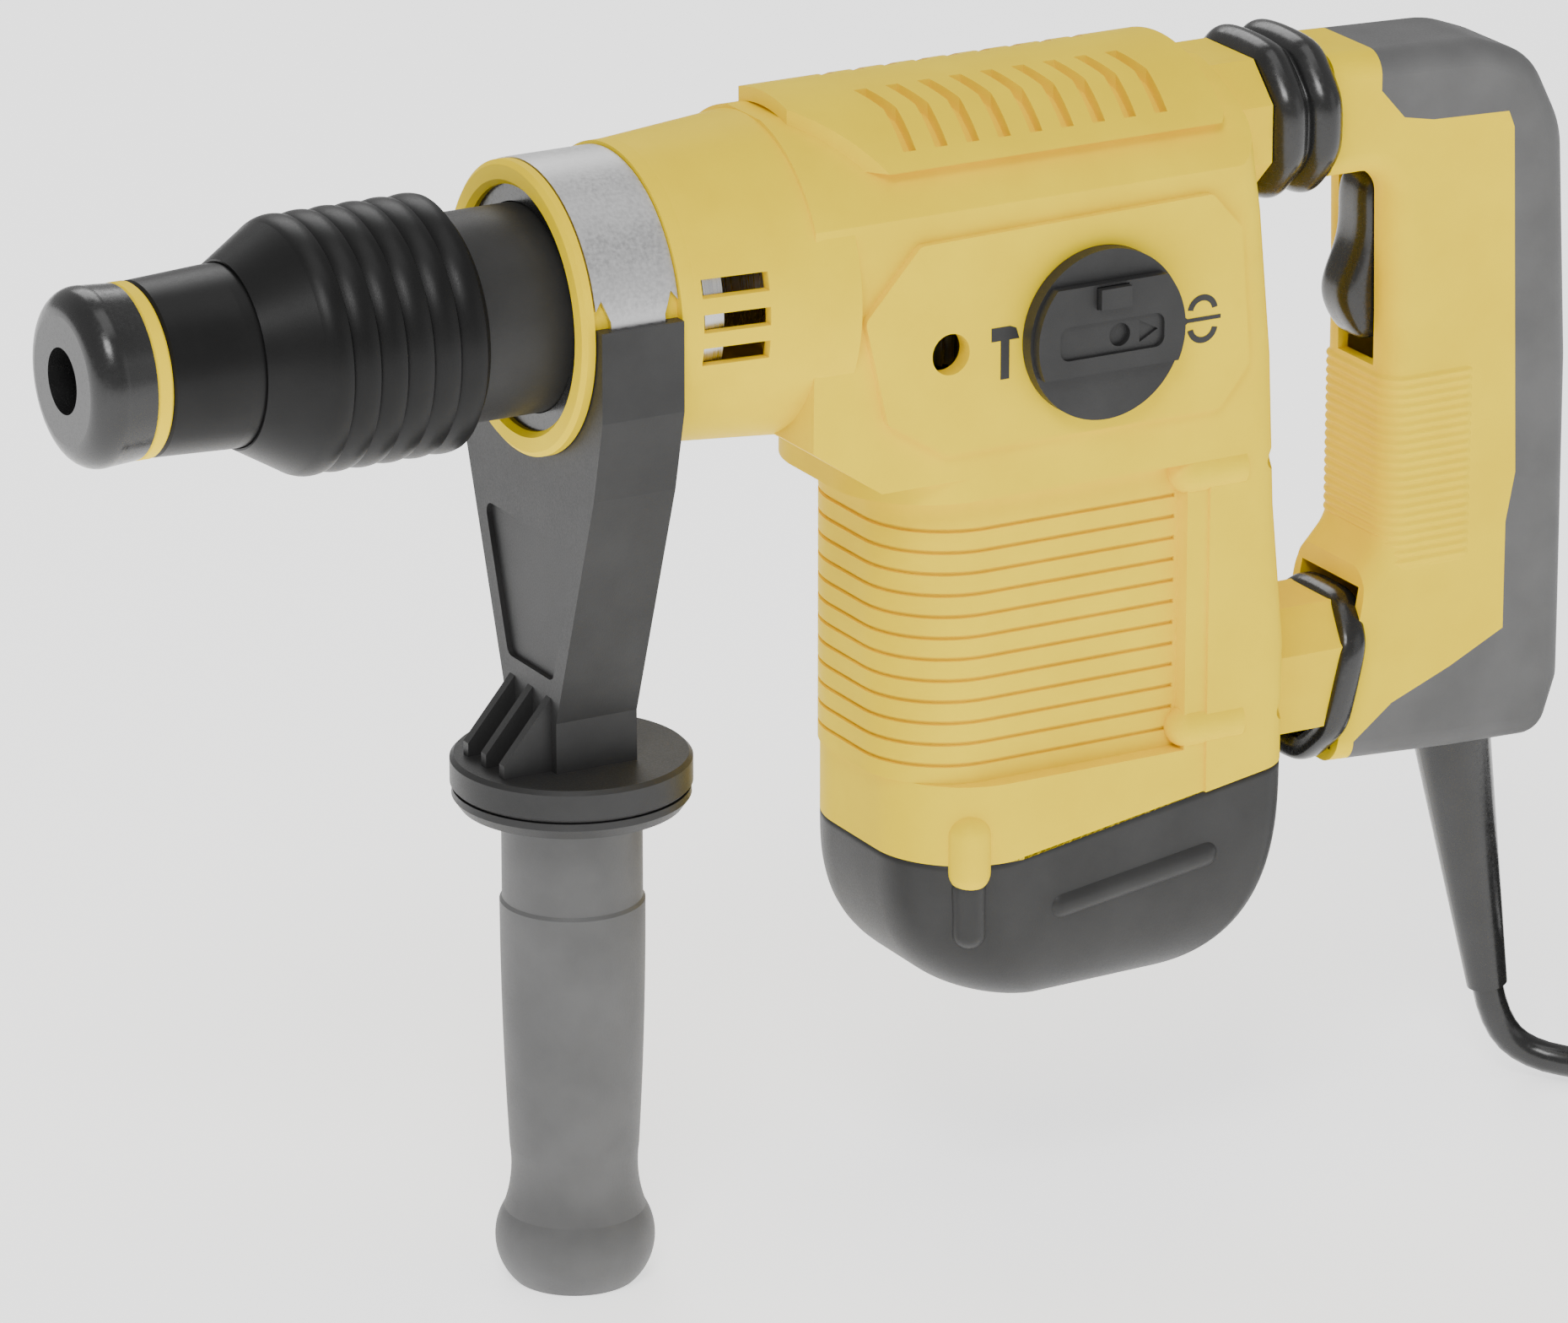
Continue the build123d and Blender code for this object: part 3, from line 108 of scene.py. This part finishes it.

# %% [markdown]
# ## Mains cord
# The real lead is about four metres of rubber cable.  It leaves the strain relief downwards, bends on the
# floor and runs off to a neat coil of three layers, tied once, with the plug lying on it.  A NURBS curve of
# order three drawn through a listed set of control points gives the free stretch, and a loop works
# out the coil: each turn keeps one radius and shifts to the next inside one short sector, as wound cable
# really does.

# %% The cord's route and its coil
CORD_D = 0.0095
TIE_THICK = 1.2
COIL_TURNS = 4
COIL_LAYERS = 3
COIL_PITCH = 9.6
COIL_MID_R = 57.0
COIL_CENTRE = (576.0, -20.0)
COIL_START = -150.0
COIL_OUT_R = COIL_MID_R + (COIL_TURNS - 1) / 2 * COIL_PITCH
TAIL_R = 54.0
POINTS_PER_TURN = 24
FLOOR_MM = -292.5
CORD_Z = FLOOR_MM + TIE_THICK + CORD_D * 500
COIL_TOP = FLOOR_MM + TIE_THICK + COIL_LAYERS * COIL_PITCH
PLUG_R = 17.0


def on_coil(angle, radius, z):
    """Point over the coil at an angle in degrees, at a radius and height in mm."""
    turn = math.radians(angle)
    return (COIL_CENTRE[0] + radius * math.cos(turn), COIL_CENTRE[1] + radius * math.sin(turn), z)


def coil_layer(turn_count, outwards, z, climbs):
    """One layer of turns.  The angle grows evenly; the radius keeps its value for most of a turn and glides
    by one pitch in the turn's last sixth, inwards or outwards.  A layer that climbs rises by one pitch there
    in its last turn instead."""
    turns = np.arange(turn_count * POINTS_PER_TURN) / POINTS_PER_TURN
    whole = np.floor(turns)
    glide = np.clip((turns - whole - 5 / 6) * 6, 0, 1)
    glide = glide * glide * (3 - 2 * glide)
    last = (whole == turn_count - 1) & climbs
    steps = whole + np.where(last, 0, glide)
    radius = COIL_OUT_R - COIL_PITCH * (COIL_TURNS - 1 - steps if outwards else steps)
    angle = turns * 2 * np.pi + np.radians(COIL_START)
    x = COIL_CENTRE[0] + radius * np.cos(angle)
    y = COIL_CENTRE[1] + radius * np.sin(angle)
    return np.stack([x, y, z + COIL_PITCH * glide * last], axis=1)


lead = [(466.0, 0.0, -262.0), (468.5, -0.5, -275.0), (477.5, -6.0, -285.6), (492.0, -23.0, CORD_Z),
        (504.0, -39.0, CORD_Z)]
tail = [on_coil(-136, TAIL_R - 1, COIL_TOP - 4.6), on_coil(-112, TAIL_R, COIL_TOP - 2.0),
        on_coil(-86, TAIL_R, COIL_TOP + 4.0), on_coil(-58, TAIL_R, COIL_TOP + 11.5),
        on_coil(-30, TAIL_R, COIL_TOP + PLUG_R), on_coil(-6, TAIL_R, COIL_TOP + PLUG_R)]
layers = [coil_layer(4, False, CORD_Z, True), coil_layer(4, True, CORD_Z + COIL_PITCH, True),
          coil_layer(2, False, CORD_Z + 2 * COIL_PITCH, False)]
route = np.vstack([np.array(lead), *layers, np.array(tail)])
cord_data = bpy.data.curves.new("mains_cord", "CURVE")
cord_data.dimensions = "3D"
cord_data.bevel_depth = 1.0
cord_data.bevel_resolution = 5
cord_data.resolution_u = 4
cord_data.use_fill_caps = True
spline = cord_data.splines.new("NURBS")
spline.points.add(len(route) - 1)
for point, (x, y, z) in zip(spline.points, route):
    point.co = (*place(x, y, z), 1.0)
    point.radius = CORD_D / 2
spline.order_u = 3
spline.use_endpoint_u = True
cord = bpy.data.objects.new("mains_cord", cord_data)
bpy.context.scene.collection.objects.link(cord)
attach(cord, "rear_handle")
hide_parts("cord_tube", "cord_coil")

# %% [markdown]
# ## Finishes
# Every finish is worked out by nodes from Object coordinates, in metres, so it needs no unwrapping and
# keeps its scale on every piece.  A moulded plastic has two things to show: a colour that varies a little, and
# a fine spark-eroded grain that breaks up its gloss.

# %% Node helpers
def new_finish(name):
    """Empty finish with its node tree, its shader and a coordinate node."""
    material = bpy.data.materials.new(name)
    material.use_nodes = True
    tree = material.node_tree
    shader = tree.nodes["Principled BSDF"]
    place_node = tree.nodes.new("ShaderNodeTexCoord")
    return material, tree, shader, place_node


def noise(tree, vector, scale, detail):
    """Noise texture over a vector socket, with its scale in features per metre."""
    texture = tree.nodes.new("ShaderNodeTexNoise")
    texture.inputs["Scale"].default_value = scale
    texture.inputs["Detail"].default_value = detail
    tree.links.new(vector, texture.inputs["Vector"])
    return texture.outputs["Fac"]


def ramp(tree, value, stops):
    """Colour ramp between two (position, colour) stops."""
    node = tree.nodes.new("ShaderNodeValToRGB")
    for element, (position, colour) in zip(node.color_ramp.elements, stops):
        element.position = position
        element.color = (*colour, 1.0)
    tree.links.new(value, node.inputs["Fac"])
    return node.outputs["Color"]


def bump(tree, shader, height, strength, distance):
    """Bump of the given height in metres."""
    node = tree.nodes.new("ShaderNodeBump")
    node.inputs["Strength"].default_value = strength
    node.inputs["Distance"].default_value = distance
    tree.links.new(height, node.inputs["Height"])
    tree.links.new(node.outputs["Normal"], shader.inputs["Normal"])


MOTTLE_SCALE = 45.0


def grey(level):
    """Neutral colour."""
    return (level, level, level)


def moulded(name, dark, light, rough, grain, depth, specular=0.5):
    """Moulded plastic or rubber: mottled colour, grained surface, roughness that follows the grain."""
    material, tree, shader, place_node = new_finish(name)
    mottle = noise(tree, place_node.outputs["Object"], MOTTLE_SCALE, 4.0)
    colour = ramp(tree, mottle, [(0.35, dark), (0.65, light)])
    tree.links.new(colour, shader.inputs["Base Color"])
    fine = noise(tree, place_node.outputs["Object"], grain, 2.0)
    roughness = ramp(tree, fine, [(0.3, grey(rough - 0.06)), (0.7, grey(rough + 0.06))])
    tree.links.new(roughness, shader.inputs["Roughness"])
    shader.inputs["Specular IOR Level"].default_value = specular
    bump(tree, shader, fine, 0.35, depth)
    return material


def metal(name, dark, light, rough, stretch, scale):
    """Machined or blasted metal: roughness and colour stretched along the tooling marks."""
    material, tree, shader, place_node = new_finish(name)
    mapping = tree.nodes.new("ShaderNodeMapping")
    mapping.inputs["Scale"].default_value = stretch
    tree.links.new(place_node.outputs["Object"], mapping.inputs["Vector"])
    fac = noise(tree, mapping.outputs["Vector"], scale, 4.0)
    tree.links.new(ramp(tree, fac, [(0.3, dark), (0.7, light)]), shader.inputs["Base Color"])
    tree.links.new(ramp(tree, fac, [(0.3, grey(rough - 0.08)), (0.7, grey(rough + 0.08))]),
                   shader.inputs["Roughness"])
    shader.inputs["Metallic"].default_value = 1.0
    bump(tree, shader, fac, 0.2, 0.00005)
    return material


# %% Plastics and rubbers
finishes = {
    "yellow_plastic": moulded("satin_yellow", (0.93, 0.66, 0.0), (0.98, 0.71, 0.0), 0.48, 2600.0, 0.00006,
                              specular=0.05),
    "black_plastic": moulded("grained_black", grey(0.026), grey(0.034), 0.46, 2200.0, 0.00008,
                             specular=0.25),
    "sleeve_plastic": moulded("satin_black", grey(0.006), grey(0.009), 0.38, 3000.0, 0.00004,
                              specular=0.2),
    "soft_grip": moulded("soft_black", grey(0.095), grey(0.118), 0.55, 1800.0, 0.0001,
                         specular=0.3),
    "black_rubber": moulded("smooth_rubber", grey(0.012), grey(0.018), 0.24, 900.0, 0.00003),
    "tie_strap": moulded("woven_strap", grey(0.02), grey(0.03), 0.7, 1500.0, 0.0002),
    "carbon": moulded("carbon_block", grey(0.03), grey(0.05), 0.6, 1500.0, 0.0001),
}

# %% Metals
finishes.update({
    "band_steel": metal("blasted_steel", grey(0.58), grey(0.68), 0.42, (1, 1, 1), 900.0),
    "machined_steel": metal("ground_steel", grey(0.46), grey(0.60), 0.30, (60, 1, 1), 40.0),
    "core_iron": metal("stacked_iron", grey(0.12), grey(0.24), 0.5, (1, 1, 60), 60.0),
    "copper": metal("lacquered_copper", (0.62, 0.26, 0.12), (0.78, 0.38, 0.2), 0.35, (1, 1, 8), 120.0),
    "alloy": metal("cast_alloy", grey(0.42), grey(0.55), 0.55, (1, 1, 1), 300.0),
    "screw_steel": metal("black_screw", grey(0.10), grey(0.18), 0.4, (1, 1, 1), 400.0),
    "pin_metal": metal("plated_pin", (0.55, 0.52, 0.45), (0.7, 0.66, 0.58), 0.25, (40, 1, 1), 60.0),
})

# %% Finishes onto the CAD pieces
slot_of = {part["node"]: part["material_slot"] for part in frame["record"]["subparts"]}
for name, node in nodes.items():
    node.data.materials.clear()
    node.data.materials.append(finishes[slot_of[name]])
cord.data.materials.append(finishes["black_rubber"])
print("finished", len(nodes), "pieces in", len(finishes), "finishes")

# %% [markdown]
# ## Surfaces from arrays
# The rubber, the trigger and the small reliefs are soft, rounded shapes that no box or cylinder gives.  They
# could be sculpted by hand, but a formula over a grid of points is exact and can be changed later: every
# piece below is an array of places with two running parameters, and one function turns it into a mesh.

# %% Surface helper
made = {}


def surface(name, grid, slot_name, body, inside, wrap_rows=False, wrap_columns=True):
    """Mesh over a grid of places in mm, shaped (rows, columns, 3).  Each four neighbours make one face; a
    wrapped direction joins its last line to its first.  Faces point away from the place called inside."""
    rows, columns = grid.shape[:2]
    index = np.arange(rows * columns).reshape(rows, columns)
    if wrap_rows:
        index = np.vstack([index, index[:1]])
    if wrap_columns:
        index = np.hstack([index, index[:, :1]])
    corners = [index[:-1, :-1], index[1:, :-1], index[1:, 1:], index[:-1, 1:]]
    faces = np.stack(corners, axis=-1).reshape(-1, 4)
    points = grid.reshape(-1, 3) / 1000 + np.array([NOSE_X, 0.0, AXIS_Z])
    mesh = bpy.data.meshes.new(name)
    mesh.from_pydata(points.tolist(), [], faces.tolist())
    return finish_piece(name, mesh, slot_name, body, inside)


def finish_piece(name, mesh, slot_name, body, inside):
    """Merges a mesh's doubled points, turns its faces outwards, smooths it and hangs it on its body."""
    work = bmesh.new()
    work.from_mesh(mesh)
    bmesh.ops.remove_doubles(work, verts=work.verts, dist=1e-6)
    bmesh.ops.recalc_face_normals(work, faces=work.faces)
    middle = Vector(place(*inside))
    outward = sum(f.normal.dot(f.calc_center_median() - middle) * f.calc_area() for f in work.faces)
    if outward < 0:
        bmesh.ops.reverse_faces(work, faces=work.faces)
    work.to_mesh(mesh)
    work.free()
    mesh.polygons.foreach_set("use_smooth", np.ones(len(mesh.polygons), dtype=bool))
    piece = bpy.data.objects.new(name, mesh)
    bpy.context.scene.collection.objects.link(piece)
    mesh.materials.append(finishes[slot_name])
    if body:
        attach(piece, body)
    made[name] = len(mesh.polygons)
    return piece


def octagon_reach(angle, half_width, half_height, cut, sharpness=16):
    """Distance from the middle of a rounded octagon to its edge: each pair of flats limits it to its own half
    width divided by the cosine, and a high power mean of the three limits rounds the corners."""
    across, up = np.abs(np.cos(angle)), np.abs(np.sin(angle))
    slant = (half_width - cut + half_height) / math.sqrt(2)
    limits = [across / half_width, up / half_height, (across + up) / math.sqrt(2) / slant]
    return sum(limit ** sharpness for limit in limits) ** (-1 / sharpness)


# %% [markdown]
# ## Bellows and gasket
# The rear handle floats on springs, so two rubber parts close its gaps: a bellows of two fat folds on the
# upper arm and a ridged gasket on the lower one.  Each is a closed profile carried round the arm's octagon.
# They stretch between two bodies, and they are hung on neither.

# %% Bellows on the upper arm
ROUND = np.linspace(0, 2 * np.pi, 160, endpoint=False)
FOLD_FRONT, FOLD_REAR, UPPER_ARM_Z = 369.2, 392.6, 24.0
along = np.linspace(0, 1, 60)
folds = 0.2 + 5.2 * np.abs(np.sin(2 * np.pi * along)) ** 0.55
profile_x = np.concatenate([FOLD_FRONT + (FOLD_REAR - FOLD_FRONT) * along, [FOLD_REAR, FOLD_FRONT]])
profile_out = np.concatenate([folds, [-4.0, -4.0]])
reach = octagon_reach(ROUND, 23.0, 18.5, 11.0)[None, :] + profile_out[:, None]
bellows_grid = np.stack([np.broadcast_to(profile_x[:, None], reach.shape), reach * np.cos(ROUND),
                         UPPER_ARM_Z + reach * np.sin(ROUND)], axis=-1)
bellows = surface("arm_bellows", bellows_grid, "black_rubber", None, (381, 0, UPPER_ARM_Z),
                  wrap_rows=True)
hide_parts("bellows")
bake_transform(bellows)
print("bellows faces", made["arm_bellows"])

# %% Gasket on the lower arm
LOWER_ARM_Z = -149.0
half_turn = np.linspace(0, np.pi, 14)
ridge_x = np.concatenate([4.4 * np.cos(half_turn), [-4.0, 4.0]])
ridge_out = np.concatenate([2.6 * np.sin(half_turn) ** 0.8 - 0.2, [-4.5, -4.5]])
reach = octagon_reach(ROUND, 22.0, 23.5, 11.0)[None, :] + ridge_out[:, None]
height = LOWER_ARM_Z + reach * np.sin(ROUND)
lean = 404.6 + 0.24 * (height + 124.0)
gasket_grid = np.stack([lean + ridge_x[:, None], reach * np.cos(ROUND), height], axis=-1)
gasket = surface("lower_gasket", gasket_grid, "black_rubber", None, (399, 0, LOWER_ARM_Z),
                 wrap_rows=True)
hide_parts("arm_gasket")
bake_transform(gasket)
print("gasket faces", made["lower_gasket"])

# %% [markdown]
# ## Spring of the ribbed sleeve
# The spring inside the ribbed sleeve pushes it forwards.  Its outer shape is a corrugated tube with one fold
# per coil.  Its front end goes with the sleeve and its rear end stays on the tool holder, so it gets shorter
# as the sleeve is pulled back; here it is hung on neither body.

# %% Sleeve spring
SPRING_FRONT, SPRING_REAR, SPRING_COILS = 66.2, 89.6, 4
SPRING_R, FOLD_DEPTH, SPRING_WALL = 24.0, 4.0, 2.2
step = np.linspace(0, 1, 4 * SPRING_COILS * 2 + 1)
fold = SPRING_R + FOLD_DEPTH * np.abs((step * SPRING_COILS * 2 + 1) % 2 - 1)
spring_x = SPRING_FRONT + (SPRING_REAR - SPRING_FRONT) * np.concatenate([step, step[::-1]])
spring_r = np.concatenate([fold, fold[::-1] - SPRING_WALL])
spring_grid = np.stack([np.broadcast_to(spring_x[:, None], (len(spring_x), len(ROUND))),
                        spring_r[:, None] * np.cos(ROUND), spring_r[:, None] * np.sin(ROUND)], axis=-1)
spring_middle = ((SPRING_FRONT + SPRING_REAR) / 2, 0, 0)
spring = surface("holder_spring", spring_grid, "machined_steel", None, spring_middle, wrap_rows=True)
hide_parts("sleeve_spring")
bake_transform(spring)
print("spring faces", made["holder_spring"])

# %% [markdown]
# ## Trigger
# A long paddle for two or three fingers, fullest near its lower end.  Level slices of a rounded rectangle are
# stacked down the paddle, and each end is drawn in to a rounded tip.

# %% Trigger paddle
def squared(wave):
    """A sine or cosine flattened towards a square wave: its size raised to a power below one."""
    return np.sign(wave) * np.abs(wave) ** 0.55


PADDLE_REAR = 425.0
down = np.linspace(0, 1, 72)
level = 1.2 - 50.4 * down
front = 412.0 - 7.2 * np.exp(-((level + 35.0) / 13.0) ** 2) - 1.5 * np.exp(-((level + 6) / 12) ** 2)
end_round = (1 - np.abs(2 * down - 1) ** 7) ** (1 / 5)
middle_x, half_x = (front + PADDLE_REAR) / 2, (PADDLE_REAR - front) / 2
slice_x = middle_x[:, None] + (half_x * end_round)[:, None] * squared(np.cos(ROUND))
slice_y = (8.8 * end_round)[:, None] * squared(np.sin(ROUND))
trigger_grid = np.stack([slice_x, slice_y, np.broadcast_to(level[:, None], slice_x.shape)], axis=-1)
paddle = surface("trigger_paddle", trigger_grid, "black_rubber", "trigger", (418, 0, -24))
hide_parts("trigger")
print("trigger faces", made["trigger_paddle"])

# %% [markdown]
# ## Ribbed grip
# The soft yellow palm area is ribbed across so that a gloved hand doesn't slide.  A sheet follows the grip's
# section from one side round the front to the other, and a wave along its height makes the ribs.

# %% Palm ribs
GRIP_FRONT, GRIP_SIDE, CORNER = 413.9, 19.1, 7.0
RIB_STEP = 2.8
travel = np.linspace(-1, 1, 121)
side_run, front_half = 22.0, GRIP_SIDE - CORNER
quarter = CORNER * math.pi / 2
total = front_half + quarter + side_run
s = np.abs(travel) * total
bend = np.clip((s - front_half) / CORNER, 0, math.pi / 2)
path_x = GRIP_FRONT + CORNER * (1 - np.cos(bend)) + np.clip(s - front_half - quarter, 0, None)
path_y = np.sign(travel) * (np.minimum(s, front_half) + CORNER * np.sin(bend))
normal_x, normal_y = -np.cos(bend), np.sign(travel) * np.sin(bend)
rows = np.linspace(0, 1, 261)
level = -57.0 - 60.5 * rows
swell = 0.30 + 0.32 * np.cos(2 * np.pi * level / RIB_STEP)
fade_up = np.clip(np.minimum(rows, 1 - rows) * 40, 0, 1)
fade_round = np.clip((1 - np.abs(travel)) * 16, 0, 1)
fade = fade_up[:, None] * fade_round[None, :]
lift = (swell[:, None] + 0.25) * fade - 0.25 * (1 - fade)
ribs_grid = np.stack([path_x + lift * normal_x, path_y + lift * normal_y,
                      np.broadcast_to(level[:, None], lift.shape)], axis=-1)
ribs = surface("palm_ribs", ribs_grid, "yellow_plastic", "rear_handle", (431, 0, -88), wrap_columns=False)
wall = ribs.modifiers.new("wall", "SOLIDIFY")
wall.thickness = 0.0008
wall.offset = -1.0
print("palm rib faces", made["palm_ribs"])

# %% [markdown]
# ## Motor cap
# The black cap under the motor is one deep bowl: upright where it meets the yellow housing, then rounded more
# and more towards the bottom.  Its plan is a rectangle with round corners; going down, the plan shrinks as a
# rounded quarter curve.

# %% Bowl of the motor cap
def rounded_plan(x0, x1, half, front_r, rear_r, steps=14):
    """Outline of a rectangle with quarter-circle corners, larger at the front: for each corner its centre plus
    a radius turned through a quarter."""
    corners = [(x1 - rear_r, half - rear_r, rear_r, 0), (x0 + front_r, half - front_r, front_r, 1),
               (x0 + front_r, front_r - half, front_r, 2), (x1 - rear_r, rear_r - half, rear_r, 3)]
    turn = np.linspace(0, np.pi / 2, steps)
    arcs = [np.stack([x + r * np.cos(turn + q * np.pi / 2), y + r * np.sin(turn + q * np.pi / 2)], axis=1)
            for x, y, r, q in corners]
    return np.concatenate(arcs)


plan = rounded_plan(246.0, 368.0, 41.0, 28.0, 8.0)
CAP_MIDDLE, CAP_BOTTOM, CAP_LID = 309.0, -226.0, -168.0
SEAM_Z, SEAM_BEND_X = -175.0, 279
seam = np.where(plan[:, 0] < SEAM_BEND_X, SEAM_Z, SEAM_Z + 15.0 * (plan[:, 0] - SEAM_BEND_X) / 89)
depth = np.sin(np.linspace(0, np.pi / 2, 40))
shrink_x = np.clip(1 - depth ** 2.7, 0, 1) ** (1 / 2.7)
shrink_y = np.clip(1 - depth ** 3.6, 0, 1) ** (1 / 3.6)
bowl_x = CAP_MIDDLE + (plan[:, 0] - CAP_MIDDLE)[None, :] * shrink_x[:, None]
bowl_y = plan[:, 1][None, :] * shrink_y[:, None]
bowl_z = seam[None, :] + (CAP_BOTTOM - seam)[None, :] * depth[:, None]
lid = np.stack([np.full(len(plan), CAP_MIDDLE), np.zeros(len(plan)), np.full(len(plan), CAP_LID)], axis=-1)
bowl_grid = np.concatenate([lid[None], np.stack([bowl_x, bowl_y, bowl_z], axis=-1)])
bowl = surface("motor_cap", bowl_grid, "black_plastic", "power_unit", (309, 0, -195))
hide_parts("bottom_cap")
print("cap faces", made["motor_cap"])

# %% [markdown]
# ## Bosses and bars
# Long rounded bumps stiffen the mouldings or hide screws.  Each is a rod with half-sphere ends, sunk into the
# wall so that only its back shows.

# %% Rounded rods on the housings
def rod(name, start, end, radius, slot_name, body):
    """Rod between two places with half-sphere ends: circles whose centre runs along the line and whose radius
    follows a half circle at either end."""
    start, end = np.array(start, float), np.array(end, float)
    line = (end - start) / np.linalg.norm(end - start)
    side = np.cross(line, (0.3, 1.0, 0.2))
    side = side / np.linalg.norm(side)
    other = np.cross(line, side)
    tip = np.linspace(0, np.pi / 2, 9)
    back = np.concatenate([-np.cos(tip) * radius, np.cos(tip[::-1]) * radius])
    base = np.concatenate([np.repeat(start[None], 9, 0), np.repeat(end[None], 9, 0)])
    width = np.concatenate([np.sin(tip), np.sin(tip[::-1])]) * radius
    turn = np.linspace(0, 2 * np.pi, 28, endpoint=False)
    circle = np.cos(turn)[:, None] * side + np.sin(turn)[:, None] * other
    grid = (base + back[:, None] * line)[:, None, :] + width[:, None, None] * circle[None]
    return surface(name, grid, slot_name, body, tuple((start + end) / 2))


for side in (-1, 1):
    hand = "left" if side < 0 else "right"
    rod(f"{hand}_cap_boss", (263, side * 37.0, -166), (263, side * 37.0, -177), 6.2, "yellow_plastic",
        "power_unit")
    rod(f"{hand}_cap_post", (263, side * 36.4, -182), (264, side * 35.2, -196), 5.2, "black_plastic",
        "power_unit")
    rod(f"{hand}_cap_bar", (292, side * 37.6, -191.5), (340, side * 37.8, -184.5), 4.8, "black_plastic",
        "power_unit")
print("rods made", sum("_cap_" in name for name in made))

# %% [markdown]
# ## Symbols beside the dial
# Two plain working symbols show what the dial selects: a hammer for chiselling, and a chisel between two arcs
# for setting its angle.  They are black, and each is a thin closed plate on the cover's face.

# %% Symbols
COVER_FACE = -44.5
SYMBOL_PROUD = 0.12


def plate(name, outline, slot_name, body):
    """Thin closed plate on the cover: an outline of (x, z) places, once in the cover and once proud of it."""
    outline = np.array(outline, float)
    count = len(outline)
    front = np.stack([outline[:, 0], np.full(count, COVER_FACE - SYMBOL_PROUD), outline[:, 1]], axis=1)
    back = front + (0, SYMBOL_PROUD + 0.4, 0)
    points = np.concatenate([front, back]) / 1000 + np.array([NOSE_X, 0.0, AXIS_Z])
    step = np.arange(count)
    walls = np.stack([step, (step + 1) % count, (step + 1) % count + count, step + count], axis=1)
    mesh = bpy.data.meshes.new(name)
    ends = [list(range(count)), list(range(count, 2 * count))]
    mesh.from_pydata(points.tolist(), [], ends + walls.tolist())
    middle = outline.mean(axis=0)
    piece = finish_piece(name, mesh, slot_name, body, (middle[0], COVER_FACE, middle[1]))
    mesh.polygons.foreach_set("use_smooth", np.zeros(len(mesh.polygons), dtype=bool))
    return piece


def arc_band(x, z, outer, inner, first, last, steps=16):
    """Outline of a bent band: the outer arc forwards and the inner arc back."""
    turn = np.radians(np.linspace(first, last, steps))
    far = np.stack([x + outer * np.cos(turn), z + outer * np.sin(turn)], axis=1)
    near = np.stack([x + inner * np.cos(turn[::-1]), z + inner * np.sin(turn[::-1])], axis=1)
    return np.concatenate([far, near])


HAMMER_X, TURN_X, SIGN_Z = 269.0, 333.8, -20.3
hammer = [(-1.4, -8), (1.4, -8), (1.4, 3.4), (4.6, 3.4), (3.6, 6.6), (1.6, 7.4), (-4.4, 7.4), (-4.4, 3.4),
          (-1.4, 3.4)]
plate("hammer_symbol", [(HAMMER_X + x, SIGN_Z + z) for x, z in hammer], "black_plastic", "power_unit")
chisel = [(-6.5, -1.8), (-5, -0.6), (6, -0.6), (6, 0.6), (-5, 0.6), (-6.5, 1.8)]
plate("chisel_symbol", [(TURN_X + x, SIGN_Z + z) for x, z in chisel], "black_plastic", "power_unit")
plate("turn_symbol_top", arc_band(TURN_X, SIGN_Z + 2.2, 5.0, 3.2, 10, 170), "black_plastic", "power_unit")
plate("turn_symbol_low", arc_band(TURN_X, SIGN_Z - 2.2, 5.0, 3.2, 190, 350), "black_plastic", "power_unit")
print("symbols at x", HAMMER_X, "and", TURN_X)

# %% [markdown]
# ## Stage
# A pale floor under the tool and four large soft lights stand in for a product table: the brightest comes from
# above and the left, a weak one fills the shaded side, one behind draws the bright edges along the rounded
# plastic, and one hangs overhead.

# %% Floor and lights
def soft_light(name, position, power, size, target):
    """Square area light at a position, facing a target."""
    data = bpy.data.lights.new(name, "AREA")
    data.energy = power
    data.size = size
    light = bpy.data.objects.new(name, data)
    light.location = position
    light.rotation_euler = (Vector(target) - Vector(position)).to_track_quat("-Z", "Y").to_euler()
    bpy.context.scene.collection.objects.link(light)
    return light


FLOOR_HALF = 8.0
corner_signs = [(-1, -1), (1, -1), (1, 1), (-1, 1)]
floor_mesh = bpy.data.meshes.new("floor")
floor_mesh.from_pydata([(x * FLOOR_HALF, y * FLOOR_HALF, FLOOR_Z) for x, y in corner_signs], [], [(0, 1, 2, 3)])
floor = bpy.data.objects.new("floor", floor_mesh)
bpy.context.scene.collection.objects.link(floor)
floor_finish = bpy.data.materials.new("floor_paper")
floor_finish.use_nodes = True
paper = floor_finish.node_tree.nodes["Principled BSDF"].inputs
paper["Base Color"].default_value = (0.98, 0.98, 0.98, 1)
paper["Roughness"].default_value = 0.9
paper["Emission Color"].default_value = (1, 1, 1, 1)
paper["Emission Strength"].default_value = 1.3
floor_mesh.materials.append(floor_finish)
middle = place(230, 0, -110)
soft_light("key", (-1.3, -1.5, 2.0), 34.0, 0.9, middle)
soft_light("fill", (1.6, -2.0, 0.8), 5.0, 1.6, middle)
soft_light("rim", (0.2, 1.8, 1.6), 16.0, 1.2, middle)
soft_light("top", (-0.2, -0.2, 2.2), 10.0, 1.4, middle)
world = bpy.data.worlds.new("studio")
bpy.context.scene.world = world
world.use_nodes = True
world.node_tree.nodes["Background"].inputs["Color"].default_value = (1, 1, 1, 1)
world.node_tree.nodes["Background"].inputs["Strength"].default_value = 0.5
